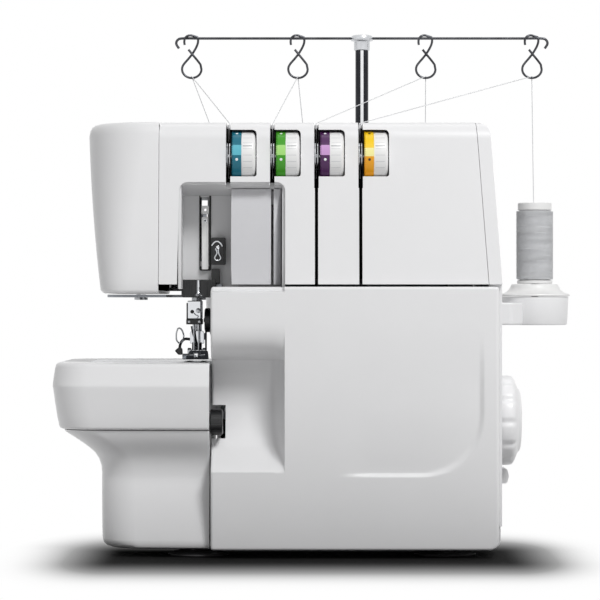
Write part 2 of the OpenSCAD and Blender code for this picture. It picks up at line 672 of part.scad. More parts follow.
module presser_ankle() color(steel) difference() {
    union() {
        block(needle_x - 5, needle_x + 5, presser_y - 6, presser_y + 6, 143, 152);
        block(needle_x - 3.5, needle_x + 3.5, presser_y - 11, presser_y + 2, foot_z + 3.4, 143);
        rod_x(needle_x - 6.6, needle_x + 6.6, presser_y - 8, foot_z + 5.5, 1.2);
        rod_x(needle_x + 5, needle_x + 6.6, presser_y, 148, 2.4);
    }
    rod_z(needle_x, presser_y, 144.6, 154, 3.22);
}

module presser_foot() color([0.82, 0.83, 0.85]) difference() {
    union() {
        along_x(needle_x - 9, needle_x + 8.5) polygon([
            [needle_y - 17, foot_z + 2.6], [needle_y - 14, foot_z], [needle_y + 27, foot_z],
            [needle_y + 28, foot_z + 2.6]]);
        for (x = [-6.4, 4]) block(needle_x + x, needle_x + x + 2.4, presser_y - 11, presser_y - 5,
            foot_z + 2.5, foot_z + 7.6);
    }
    block(needle_x - 5, needle_x + 4, needle_y - 5, needle_y + 5, 100, 160);
    block(needle_x - 1, needle_x + 1.5, needle_y - 30, needle_y - 4, 100, 160);
    rod_x(needle_x - 10, needle_x + 10, presser_y - 8, foot_z + 5.5, 1.25);
}

// Handle that swings up behind the head; its spiral cam lifts the presser bar bracket
module presser_lifter() color([0.85, 0.85, 0.86]) union() {
    rod_x(-103, -61, lifter_y, lifter_z, 3);
    along_x(needle_x - 4, needle_x + 2) polygon(concat(
        [for (i = [0:10]) let (a = 50 + 5 * i, r = 6.6 + 6 * max(0, 90 - a) / 35)
            [lifter_y + r * cos(a), lifter_z + r * sin(a)]],
        [for (i = [0:6]) let (a = 130 + 25 * i) [lifter_y + 6 * cos(a), lifter_z + 6 * sin(a)]],
        fillet([lifter_y, 215], [26, 213], [47, 207], 4),
        fillet([26, 213], [47, 207], [60.5, 196.5], 4),
        fillet([47, 207], [60.5, 196.5], [63.5, 203], 2),
        fillet([60.5, 196.5], [63.5, 203], [24, 220], 2),
        fillet([63.5, 203], [24, 220], [lifter_y, 228], 4)));
}

// Knurled screw in the top of the head that sets the presser foot's pressure
module pressure_screw() color([0.9, 0.9, 0.9]) difference() {
    union() {
        rod_z(needle_x, presser_y, 274.5, 296, 6.9);
        rod_z(needle_x, presser_y, 262, 274.5, 5);
    }
    block(needle_x - 5, needle_x + 5, presser_y - 0.6, presser_y + 0.6, 294.5, 300);
}

// ---- Loopers, knives and feed ----

module lower_looper() color(steel) union() {
    rod_y(-118, arm_front + 0.5, arm_rear - 0.2, 100, 3);
    along_y(-45.2, -42.6) polygon(rounded([
        [-121, 101, 1], [-114.5, 98, 1], [-101, 113, 3], [-91, 118, 0], [-90.6, 119.4, 0],
        [-102, 118.6, 3]]));
}

module upper_looper() color(steel) union() {
    rod_y(-64, -58, 24, 98, 3);
    along_y(-41.4, -38.8) polygon(rounded([
        [-67, 98, 0], [-61, 99, 1], [-67, 112, 2], [-77.5, 120, 0], [-79, 120, 0], [-72, 110, 3]]));
}

// Arm of the upper knife on its pivot, with the blade screwed to its end
module knife_arm() color(steel) {
    union() {
        rod_x(-79, -53, knife_pivot_y, knife_pivot_z, 3);
        along_x(-76.6, -74.6) polygon(rounded([
            [6, 158, 3], [6, 147, 3], [-38, 144, 3], [-40, 141, 0], [-54, 141, 0], [-55, 168, 5],
            [-40, 166, 5], [-34, 156, 5]]));
    }
    along_x(-76.6, -75.2) polygon([[-53, 140.9], [-41, 140.9], [-41, 136], [-53, 134]]);
}

module knife_knob() color([0.08, 0.08, 0.09]) difference() {
    rod_x(-81.2, -76.9, needle_y, knob_z, 8.4);
    for (i = [0:17]) translate([0, needle_y, knob_z]) rotate([20 * i, 0, 0])
        translate([0, 0, 8.8]) rod_x(-82, -76, 0, 0, 0.8);
}

// Two toothed bars on one carrier
module feed_dogs() color([0.55, 0.56, 0.58]) union() {
    for (x = [-93, -83.3]) along_x(x, x + 2.6) polygon(concat(
        [[-60, 127]],
        [for (i = [0:14]) each [[-60 + 2 * i, bed_z - 1.4], [-58.6 + 2 * i, bed_z - 0.3]]],
        [[-30, bed_z - 1.4], [-30, 127]]));
    block(-93, -80.7, -36, -30, 121, 127.2);
    rod_y(-87, -31, arm_rear - 1.8, 113, 3);
    block(-89, -85, -35, -31, 111, 121.5);
}

// ---- Thread stand ----

// Cross bar with four cups, a boss for the mast and two feet on the machine's back
module spool_stand() color([0.9, 0.9, 0.91]) difference() {
    union() {
        rod_x(spools_x[0] + 10, spools_x[3] - 10, spool_y, 164, 7.6);
        for (x = spools_x) rod_z(x, spool_y, 155, 176, 23.5, 25);
        for (x = [0, 62]) block(x - 8, x + 8, body_rear + 0.1, spool_y, 151, 175);
        rod_z(mast_x, spool_y, 148, 182, 11);
    }
    for (x = spools_x) difference() {
        rod_z(x, spool_y, 158, 180, 22);
        rod_z(x, spool_y, 157, 173, 9);
    }
    for (x = spools_x) rod_z(x, spool_y, 160, 190, 2.62);
    rod_z(mast_x, spool_y, 152, 190, 6.52);
}

module spool_pins() color([0.86, 0.86, 0.87]) for (x = spools_x) {
    rod_z(x, spool_y, 160.1, 236, 2.6);
    rod_z(x, spool_y, 236, 240, 2.6, 1.2);
}

// Domed discs that the spools stand on, over the cups
module spool_felts() color([0.92, 0.92, 0.92]) for (x = spools_x) difference() {
    union() {
        rod_z(x, spool_y, 176.2, 178, 26);
        rod_z(x, spool_y, 178, 185.2, 24, 17);
    }
    rod_z(x, spool_y, 170, 190, 2.8);
}

module spool(x) translate([x, spool_y, spool_z]) color([0.75, 0.75, 0.76]) difference() {
    rotate_extrude() polygon([
        [3, 0], [13, 0], [13, 2.4], [spool_r, 3.2], [spool_r, spool_h - 6.4],
        [12.3, spool_h - 5.4], [12.3, spool_h], [3, spool_h]]);
    translate([0, 0, spool_h - 3]) cylinder(h = 5, r = 9);
}
module spool_1() spool(spools_x[0]);
module spool_2() spool(spools_x[1]);
module spool_3() spool(spools_x[2]);
module spool_4() spool(spools_x[3]);

module mast_outer_tube() color(steel) difference() {
    rod_z(mast_x, spool_y, 152.1, 288, 6.5);
    rod_z(mast_x, spool_y, 155, 290, 4.9);
}

module mast_inner_tube() color([0.85, 0.86, 0.88]) difference() {
    rod_z(mast_x, spool_y, 236, guide_bar_z - 4, 4.85);
    rod_z(mast_x, spool_y, 235, guide_bar_z - 6, 3.8);
}

// Points of a hook: a small loop over the bar, crossed below it, and a round eye
function hook_path(x, z) =
    let (y = spool_y)
    concat(
        curve([x - 5.2, y - 1.6, z - 5], [x - 6.5, y - 1.6, z + 1], [x - 3, y - 1.2, z + 2.6], [x, y, z + 2.2], 6),
        curve([x + 4, y, z + 1.8], [x + 5.6, y, z - 2], [x + 4.8, y, z - 5], [x, y + 1.2, z - 12], 8),
        curve([x - 1.2, y + 1.2, z - 13.6], [x - 5, y + 1, z - 18], [x - 7.4, y, z - 20], [x - 7.2, y, z - 23], 5),
        [for (i = [1:12]) let (a = 180 + 180 * i / 12) [x + 7.2 * cos(a), y, z - 23 + 6.4 * sin(a)]],
        curve([x + 7.2, y, z - 20.5], [x + 5, y - 1, z - 17], [x + 2, y - 1.2, z - 14], [x - 2.4, y - 1.4, z - 8.4], 6));

module thread_guide_bar() color([0.3, 0.3, 0.31]) {
    difference() {
        union() {
            rod_z(mast_x, spool_y, guide_bar_z - 9, guide_bar_z - 2, 5.9);
            rod_z(mast_x, spool_y, guide_bar_z - 2, guide_bar_z + 2.2, 8.2, 7.4);
        }
        rod_z(mast_x, spool_y, guide_bar_z - 12, guide_bar_z - 3.9, 4.87);
        rod_x(mast_x - 20, mast_x + 20, spool_y, guide_bar_z, 1.0);
    }
    wire(concat(
        [[mast_x - 136, spool_y, guide_bar_z - 7.5], [mast_x - 138, spool_y, guide_bar_z - 4],
         [mast_x - 137, spool_y, guide_bar_z - 1.2], [mast_x - 133.5, spool_y, guide_bar_z]],
        [for (i = [-10:10]) [mast_x + 12 * i, spool_y, guide_bar_z]],
        [[mast_x + 133.5, spool_y, guide_bar_z], [mast_x + 137, spool_y, guide_bar_z - 1.2],
         [mast_x + 138, spool_y, guide_bar_z - 4], [mast_x + 136, spool_y, guide_bar_z - 7.5]]), 0.95);
    for (s = [-1, 1]) for (d = [spool_inner, spool_outer - 2])
        wire(hook_path(mast_x + s * d, guide_bar_z), 0.85);
}

// Each thread runs from its spool over its hook and down its slot to the tension discs
module threads() color([0.85, 0.85, 0.85]) for (i = [0:3]) {
    s = i < 2 ? -1 : 1;
    guide_x = mast_x + s * (i == 0 || i == 3 ? spool_outer - 2 : spool_inner);
    wire([[spools_x[i], spool_y + 9, spool_z + spool_h + 0.4], [guide_x, spool_y + 1.3, eye_z],
          [guide_x, spool_y - 1.3, eye_z], [slots_x[i], -60, body_top + 1],
          [slots_x[i], -76, 288], [slots_x[i], dial_y + 4, 262], [slots_x[i], dial_y + 2, 256]],
        0.22, [1, 0, 0], 6);
}

// ---- Assembly ----

base_tray();
rubber_feet();
main_frame();
rear_cover();
right_end_cover();
upper_front_cover();
face_cover();
head_bottom_plate();
needle_recess();
thread_guide_cover();
left_base_cover();
free_arm_cover();
needle_plate();
thread_channels();
casing_screws();
extension_table();
cover_hinge_rod();
looper_cover();
handwheel();
power_inlet();
power_switch();
stitch_length_dial();
differential_dial();
cutting_width_knob();
tension_dial_blue();
tension_dial_green();
tension_dial_purple();
tension_dial_yellow();
tension_posts();
main_shaft();
bushes();
drive_pulley();
motor();
motor_pulley();
drive_belt();
needle_bar();
needle_clamp();
needles();
take_up_lever();
presser_bar();
presser_ankle();
presser_foot();
presser_lifter();
pressure_screw();
lower_looper();
upper_looper();
knife_arm();
knife_knob();
feed_dogs();
spool_stand();
spool_pins();
spool_felts();
spool_1();
spool_2();
spool_3();
spool_4();
mast_outer_tube();
mast_inner_tube();
thread_guide_bar();
threads();
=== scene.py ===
import math
import bmesh
import bpy
from mathutils import Matrix, Vector


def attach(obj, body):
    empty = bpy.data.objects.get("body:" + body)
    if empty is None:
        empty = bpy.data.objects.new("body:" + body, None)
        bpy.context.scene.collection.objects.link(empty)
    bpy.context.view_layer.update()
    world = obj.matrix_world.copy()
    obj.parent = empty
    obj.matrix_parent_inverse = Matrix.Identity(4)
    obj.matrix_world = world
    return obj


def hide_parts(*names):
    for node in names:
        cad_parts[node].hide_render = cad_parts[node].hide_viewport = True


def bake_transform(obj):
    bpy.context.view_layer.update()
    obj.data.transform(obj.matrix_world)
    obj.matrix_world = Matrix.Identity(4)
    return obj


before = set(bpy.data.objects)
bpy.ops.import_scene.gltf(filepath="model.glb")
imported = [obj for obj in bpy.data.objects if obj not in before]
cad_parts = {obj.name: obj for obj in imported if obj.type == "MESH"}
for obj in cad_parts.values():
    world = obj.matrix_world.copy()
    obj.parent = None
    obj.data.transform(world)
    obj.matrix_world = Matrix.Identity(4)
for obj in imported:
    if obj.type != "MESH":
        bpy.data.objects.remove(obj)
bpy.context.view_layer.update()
scene = bpy.context.scene
mm = 0.001


# colours and materials

def linear(hexText):    # sRGB hex to linear RGBA
    parts = [int(hexText[i:i + 2], 16) / 255 for i in (1, 3, 5)]
    return [c / 12.92 if c <= 0.04045 else ((c + 0.055) / 1.055) ** 2.4 for c in parts] + [1.0]


def addNode(tree, kind, inputs=None, stops=(), **settings):    # a node with its settings, values and links
    node = tree.nodes.new(kind)
    for key, value in settings.items():
        setattr(node, key, value)
    points = node.color_ramp.elements if stops else []    # stops are (position, colour)
    while len(points) < len(stops):
        points.new(0.5)
    for point, (position, colour) in zip(points, stops):
        point.position = position
        point.color = colour
    for key, value in (inputs or {}).items():
        if isinstance(value, bpy.types.Node):    # a node stands for its first output
            value = value.outputs[0]
        if isinstance(value, bpy.types.NodeSocket):
            tree.links.new(value, node.inputs[key])
        else:
            node.inputs[key].default_value = value
    return node


def grey(value):
    return (value, value, value, 1.0)


def newMaterial(name, colour, roughness, metallic=0.0, **fixed):
    material = bpy.data.materials.new(name)
    material.use_nodes = True
    shader = material.node_tree.nodes["Principled BSDF"]
    shader.inputs["Base Color"].default_value = linear(colour)
    shader.inputs["Roughness"].default_value = roughness
    shader.inputs["Metallic"].default_value = metallic
    for key, value in fixed.items():
        shader.inputs[key.replace("_", " ")].default_value = value
    return material, material.node_tree, shader


def objectCoords(tree, scale=(1, 1, 1)):    # object space, stretched along its axes
    coords = addNode(tree, "ShaderNodeTexCoord")
    return addNode(tree, "ShaderNodeMapping", {"Vector": coords.outputs["Object"], "Scale": scale})


def addGrain(tree, shader, size, depth, scale=(1, 1, 1)):    # size and depth in mm
    noise = addNode(tree, "ShaderNodeTexNoise", {"Vector": objectCoords(tree, scale),
                    "Scale": 1000 / size, "Detail": 3.0, "Roughness": 0.55})
    bump = addNode(tree, "ShaderNodeBump", {"Height": noise, "Strength": 1.0, "Distance": depth * mm})
    tree.links.new(bump.outputs["Normal"], shader.inputs["Normal"])


def addWear(tree, shader, size, low, high, colours):    # slow drift of roughness and colour, size in mm
    noise = addNode(tree, "ShaderNodeTexNoise", {"Vector": objectCoords(tree), "Scale": 1000 / size,
                    "Detail": 4.0, "Roughness": 0.6})
    for key, first, last in (("Roughness", grey(low), grey(high)),
                             ("Base Color", linear(colours[0]), linear(colours[1]))):
        drift = addNode(tree, "ShaderNodeValToRGB", {"Fac": noise}, [(0.3, first), (0.7, last)])
        tree.links.new(drift.outputs["Color"], shader.inputs[key])


def makePlastic(name, colours, low, high, grain, depth, **fixed):
    material, tree, shader = newMaterial(name, colours[0], low, **fixed)
    addGrain(tree, shader, grain, depth)
    addWear(tree, shader, 38, low, high, colours)
    return material


def makeMetal(name, colours, low, high, stretch=(1, 1, 1), grain=0.6, depth=0.004, **fixed):
    material, tree, shader = newMaterial(name, colours[0], low, 1.0, **fixed)
    addGrain(tree, shader, grain, depth, stretch)
    addWear(tree, shader, 12, low, high, colours)
    return material


# injection-moulded ABS with a polished tool face: bright, with a soft wide highlight
shellAbs = makePlastic("polished white ABS", ("#EDEDEE", "#EBEBEC"), 0.3, 0.33, 1.4, 0.003, IOR=1.54)
# the same ABS from a spark-eroded tool, for the parts that fingers reach into
satinAbs = makePlastic("satin pale grey ABS", ("#DEDEDF", "#D9D9DA"), 0.4, 0.5, 0.7, 0.012, IOR=1.54)
# grey-tinted ABS of the inner panels, darkened further as a painted shade of the recess they sit in
panelGreyAndShade = makePlastic("polished grey-white ABS", ("#CDCDD0", "#C8C8CB"), 0.3, 0.36, 0.9, 0.005, IOR=1.54)
# black glass-filled nylon: deep, with a broken gleam
blackNylon = makePlastic("black glass-filled nylon", ("#101113", "#17181A"), 0.3, 0.44, 0.6, 0.012, IOR=1.53)
# dull near-black inside of the thread slots and dial wells: painted shade, where these hollows only lie in
# shade; the same black serves the liner round the lever slot and the cutters
slotBlackAndShade = makePlastic("unpolished black ABS and painted slot shade", ("#060607", "#0A0A0B"), 0.55, 0.7, 0.6, 0.01, IOR=1.54)
# pressed nitrile rubber, with talc left in its pores
footRubber = makePlastic("nitrile rubber", ("#161618", "#1E1E20"), 0.6, 0.78, 0.8, 0.03, IOR=1.52)
# timing belt of neoprene
beltRubber = makePlastic("neoprene", ("#0E0E0F", "#161617"), 0.55, 0.7, 0.5, 0.02, IOR=1.52)
# shot-blasted pressure die casting
castAlloy = makeMetal("die-cast aluminium", ("#8F9297", "#A2A5AA"), 0.42, 0.6, grain=1.2, depth=0.05)
# stoved paint over a pressed steel can
motorPaint = makePlastic("stoved steel paint", ("#26282B", "#303236"), 0.35, 0.5, 1.0, 0.01, IOR=1.5)
# ground steel, with the lines of the wheel along the part
groundSteel = makeMetal("ground tool steel", ("#A9ABAE", "#C4C6C9"), 0.2, 0.34, (1, 1, 0.06), 0.3)
# bright chromium over nickel
chromePlate = makeMetal("bright chromium plate", ("#D7D9DC", "#E3E5E8"), 0.05, 0.1, depth=0.001)
# sintered bronze with oil in its pores
oiledBronze = makeMetal("sintered bronze", ("#8C6A37", "#A8834A"), 0.35, 0.5, grain=0.5, depth=0.02)
# cold-drawn wire with a black-nickel finish
nickelWire = makeMetal("black nickel wire", ("#3C3D40", "#56575B"), 0.22, 0.34, (1, 0.1, 1), 0.4)
# moulded acetal drums, slick and bright
whiteAcetal = makePlastic("white acetal", ("#EFEFEE", "#E9E9E9"), 0.3, 0.4, 0.8, 0.004, IOR=1.48)
printInk = makePlastic("grey pad-print ink", ("#7E8084", "#8A8C90"), 0.5, 0.6, 0.4, 0.002, IOR=1.5)
paleInk = makePlastic("pale pad-print ink", ("#B4B6BA", "#BEC0C3"), 0.5, 0.6, 0.4, 0.002, IOR=1.5)
clearDots = makePlastic("white pad-print ink", ("#F4F6F6", "#EAF0F0"), 0.5, 0.6, 0.4, 0.002, IOR=1.5)
darkDots = makePlastic("brown pad-print ink", ("#3A2410", "#4A3018"), 0.5, 0.6, 0.4, 0.002, IOR=1.5)
# leaf spring steel, blued by tempering
darkSteel = makeMetal("blued spring steel", ("#26272A", "#34363A"), 0.24, 0.38, (1, 0.2, 1), 0.4)
# plated tubes of the mast and their satin cap: the dark base of the tubes is a painted dark reflection of
# their chrome, and the bright strip along them a painted reflection
darkReflectionChrome = makeMetal("chromium plate with painted dark reflection", ("#2B2C2F", "#36373B"), 0.1, 0.16, depth=0.001)
reflectionStrip = makeMetal("bright strip as painted reflection", ("#E6E7E9", "#F0F1F2"), 0.25, 0.35, (1, 1, 0.05), 0.4)
capChrome = makeMetal("satin chromium plate", ("#C4C6C9", "#D4D6D9"), 0.22, 0.3, depth=0.002)
loopThread = makePlastic("bleached polyester thread", ("#DEDFE1", "#E6E7E9"), 0.55, 0.7, 0.3, 0.01, IOR=1.5)


dialZ, dialY = 271, -88    # axis of the four tension dials


def makeDialRing(name, steps):    # dyed acetal with painted light: the colour steps round the ring, to a lighter band at the front that is a painted highlight
    material, tree, shader = newMaterial(name, steps[0][1], 0.3, IOR=1.48)
    addGrain(tree, shader, 0.5, 0.004)
    coords = addNode(tree, "ShaderNodeTexCoord")
    place = addNode(tree, "ShaderNodeSeparateXYZ", {"Vector": coords.outputs["Object"]})
    inward = addNode(tree, "ShaderNodeMath", {0: dialY * mm, 1: place.outputs["Y"]}, operation="SUBTRACT")
    upward = addNode(tree, "ShaderNodeMath", {0: place.outputs["Z"], 1: dialZ * mm}, operation="SUBTRACT")
    turn = addNode(tree, "ShaderNodeMath", {0: upward, 1: inward}, operation="ARCTAN2")
    part = addNode(tree, "ShaderNodeMapRange", {"Value": turn, "From Min": -math.pi, "From Max": math.pi})
    ramp = addNode(tree, "ShaderNodeValToRGB", {"Fac": part},
                   [(position, linear(colour)) for position, colour in steps])
    ramp.color_ramp.interpolation = "CONSTANT"
    tree.links.new(ramp.outputs["Color"], shader.inputs["Base Color"])
    return material


def makeThread():    # spun polyester: fine twisted plies, with a silky sheen across them
    material, tree, shader = newMaterial("spun polyester thread", "#C9CACC", 0.5, Sheen_Weight=0.35,
                                         Sheen_Roughness=0.4, IOR=1.5)
    coords = addNode(tree, "ShaderNodeTexCoord")
    wave = addNode(tree, "ShaderNodeTexWave", {"Vector": coords.outputs["Object"], "Scale": 420,
                   "Distortion": 2.2, "Detail": 2.0, "Detail Scale": 40.0},
                   wave_type="BANDS", bands_direction="Z")
    fuzz = addNode(tree, "ShaderNodeTexNoise", {"Vector": objectCoords(tree, (1, 1, 5)), "Scale": 1800,
                   "Detail": 3.0})
    both = addNode(tree, "ShaderNodeMath", {0: wave.outputs["Fac"], 1: fuzz}, operation="ADD")
    tint = addNode(tree, "ShaderNodeValToRGB", {"Fac": both},
                   [(0.35, linear("#AEB0B3")), (0.95, linear("#DADBDD"))])
    tree.links.new(tint.outputs["Color"], shader.inputs["Base Color"])
    bump = addNode(tree, "ShaderNodeBump", {"Height": both, "Distance": 0.12 * mm, "Strength": 0.8})
    tree.links.new(bump.outputs["Normal"], shader.inputs["Normal"])
    return material


threadYarn = makeThread()
print("materials ready")


# mesh helpers, in mm

def addObject(name, data):
    obj = bpy.data.objects.new(name, data)
    scene.collection.objects.link(obj)
    return obj


def markCreases(mesh, smooth, merge=False):    # outward normals where asked, smooth faces, creases kept sharp
    bm = bmesh.new()
    bm.from_mesh(mesh)
    if merge:
        bmesh.ops.remove_doubles(bm, verts=bm.verts, dist=0.00001)
        bmesh.ops.recalc_face_normals(bm, faces=bm.faces)
    for face in bm.faces:
        face.smooth = True
    for edge in bm.edges:
        edge.smooth = len(edge.link_faces) == 2 and edge.calc_face_angle(0) < math.radians(smooth)
    bm.to_mesh(mesh)
    bm.free()


def makePiece(name, verts, faces, material, smooth=40, merge=True):
    mesh = bpy.data.meshes.new(name)
    mesh.from_pydata([Vector(v) * mm for v in verts], [], faces)
    markCreases(mesh, smooth, merge)
    mesh.materials.append(material)
    return addObject(name, mesh)


def bakeModifiers(obj, smooth=42):    # turns live modifiers into plain mesh
    depsgraph = bpy.context.evaluated_depsgraph_get()
    mesh = bpy.data.meshes.new_from_object(obj.evaluated_get(depsgraph))
    obj.modifiers.clear()
    old = obj.data
    obj.data = mesh
    bpy.data.meshes.remove(old)
    markCreases(mesh, smooth)
    return obj


def evenShading(obj):
    obj.modifiers.new("even shading", "WEIGHTED_NORMAL").keep_sharp = True
    return obj


def softenEdges(obj, width, angle=32, segments=3):    # a moulded radius on each crease
    bevel = obj.modifiers.new("radius", "BEVEL")
    bevel.width = width * mm
    bevel.segments = segments
    bevel.limit_method = "ANGLE"
    bevel.angle_limit = math.radians(angle)
    bevel.harden_normals = False
    bevel.use_clamp_overlap = True
    bakeModifiers(obj, 50)
    return evenShading(obj)


def cutWith(obj, cutters, operation="DIFFERENCE"):
    for cutter in cutters:
        step = obj.modifiers.new("cut", "BOOLEAN")
        step.operation = operation
        step.solver = "EXACT"
        step.object = cutter
    bakeModifiers(obj, 30)
    for cutter in cutters:
        bpy.data.objects.remove(cutter)
    return obj


def roundedLoop(corners, steps=6):    # corners are (u, v, radius)
    loop = []
    count = len(corners)
    for i in range(count):
        a, b, c = Vector(corners[i - 1][:2]), Vector(corners[i][:2]), Vector(corners[(i + 1) % count][:2])
        radius = corners[i][2]
        if radius <= 0:
            loop.append(tuple(b))
            continue
        u, v = (a - b).normalized(), (c - b).normalized()
        half = math.acos(max(-1, min(1, u.dot(v)))) / 2
        middle = b + (u + v).normalized() * (radius / math.sin(half))
        start, end = b + u * (radius / math.tan(half)) - middle, b + v * (radius / math.tan(half)) - middle
        first = math.atan2(start.y, start.x)
        turn = (math.atan2(end.y, end.x) - first + math.pi) % (2 * math.pi) - math.pi
        for k in range(steps + 1):
            angle = first + turn * k / steps
            loop.append((middle.x + radius * math.cos(angle), middle.y + radius * math.sin(angle)))
    return loop


def loftPiece(name, rings, material, smooth=40, closed=False):
    count = len(rings[0])
    verts = [point for ring in rings for point in ring]
    faces = []
    for i in range(len(rings) - (0 if closed else 1)):
        j = (i + 1) % len(rings)
        for k in range(count):
            n = (k + 1) % count
            faces.append((i * count + k, i * count + n, j * count + n, j * count + k))
    if not closed:
        faces.append(tuple(range(count))[::-1])
        faces.append(tuple((len(rings) - 1) * count + k for k in range(count)))
    return makePiece(name, verts, faces, material, smooth)


def slab(name, loop, low, high, axis, material):    # a loop pushed along an axis
    place = {"x": lambda u, v, w: (w, u, v), "y": lambda u, v, w: (u, w, v),
             "z": lambda u, v, w: (u, v, w)}[axis]
    return loftPiece(name, [[place(u, v, w) for u, v in loop] for w in (low, high)], material, 30)


def hole(loop, low, high, axis):    # cutter; its finish never shows
    return slab("cut", loop, low, high, axis, slotBlackAndShade)


def boxLoop(u0, u1, v0, v1, radius=0, steps=5):
    return roundedLoop([(u0, v0, radius), (u1, v0, radius), (u1, v1, radius), (u0, v1, radius)], steps)


def lathe(name, profile, centre, axis, material, sides, closed=False):    # profile is (radius, along)
    rings = []
    for radius, along in profile:
        ring = []
        for k in range(sides):
            a = 2 * math.pi * k / sides
            c, s = max(radius, 0.001) * math.cos(a), max(radius, 0.001) * math.sin(a)
            ring.append({"x": (centre[0] + along, centre[1] + c, centre[2] + s),
                         "y": (centre[0] + c, centre[1] + along, centre[2] + s),
                         "z": (centre[0] + c, centre[1] + s, centre[2] + along)}[axis])
        rings.append(ring)
    return loftPiece(name, rings, material, 35, closed)


def bore(radius, low, high, centre, axis, sides=24):    # round cutter
    return lathe("cut", [(radius, low), (radius, high)], centre, axis, slotBlackAndShade, sides)


def smoothPath(points, steps):    # Catmull-Rom through the points
    points = [Vector(p) for p in points]
    ends = [points[0] * 2 - points[1]] + points + [points[-1] * 2 - points[-2]]
    path = []
    for i in range(1, len(ends) - 2):
        a, b, c, d = ends[i - 1:i + 3]
        for k in range(steps):
            t = k / steps
            path.append(0.5 * (2 * b + (c - a) * t + (2 * a - 5 * b + 4 * c - d) * t * t
                               + (3 * b - a - 3 * c + d) * t ** 3))
    return path + [points[-1]]


def tube(name, path, radius, material, sides):
    rings = []
    side = None
    for i, point in enumerate(path):
        along = (path[min(i + 1, len(path) - 1)] - path[max(i - 1, 0)]).normalized()
        if side is None:
            side = along.orthogonal().normalized()
        side = (side - along * side.dot(along)).normalized()
        across = along.cross(side)
        thick = radius(i / (len(path) - 1)) if callable(radius) else radius
        rings.append([point + side * (thick * math.cos(2 * math.pi * k / sides))
                      + across * (thick * math.sin(2 * math.pi * k / sides)) for k in range(sides)])
    return loftPiece(name, rings, material, 60)


def joinPieces(name, pieces):    # one object from several, materials kept
    bm = bmesh.new()
    materials = []
    for piece in pieces:
        mesh = piece.data
        offset = len(bm.faces)
        bm.from_mesh(mesh)
        bm.faces.ensure_lookup_table()
        for face in bm.faces[offset:]:
            material = mesh.materials[face.material_index]
            if material not in materials:
                materials.append(material)
            face.material_index = materials.index(material)
        bpy.data.objects.remove(piece)
    mesh = bpy.data.meshes.new(name)
    bm.to_mesh(mesh)
    bm.free()
    for material in materials:
        mesh.materials.append(material)
    return addObject(name, mesh)


def assemble(name, parts, body, slot, *nodes):    # joined once each part's own modifiers are plain mesh
    baked = [bakeModifiers(part) if part.modifiers else part for part in parts]
    return settle(joinPieces(name, baked), body, slot, *nodes)


def settle(obj, body, slot, *nodes):    # ride and the CAD nodes it stands for; slot is not used
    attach(obj, body)
    if nodes:
        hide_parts(*nodes)
    return obj


# camera, floor and light

camera = addObject("camera", bpy.data.cameras.new("camera"))
camera.location = (-0.015, -1.912, 0.1735)
camera.rotation_euler = (math.radians(90), 0, 0)
camera.data.lens = 161.2
camera.data.sensor_width = 36
camera.data.clip_end = 60
scene.camera = camera
scene.view_settings.view_transform = "Standard"

# shadow and its place, bar, size and reach set the painted shadow on the floor
studio = {"floor": "#F4F4F4", "floorHalf": 9000, "world": 0.27, "key": 33, "fill": 0.8, "rim": 3,
          "shadow": "#141414", "shadowAt": (-0.008, -0.098, 0), "shadowBar": (0.13, 0.035, 0),
          "shadowSize": (0.0675, 0.15, 1), "shadowReach": 1.25}


def seenShare(tree):    # 1 for rays from the camera, off gloss and through glass
    path = addNode(tree, "ShaderNodeLightPath")
    seen = addNode(tree, "ShaderNodeMath", {0: path.outputs["Is Camera Ray"],
                   1: path.outputs["Is Glossy Ray"]}, operation="MAXIMUM")
    return addNode(tree, "ShaderNodeMath", {0: seen, 1: path.outputs["Is Transmission Ray"]},
                   operation="MAXIMUM")


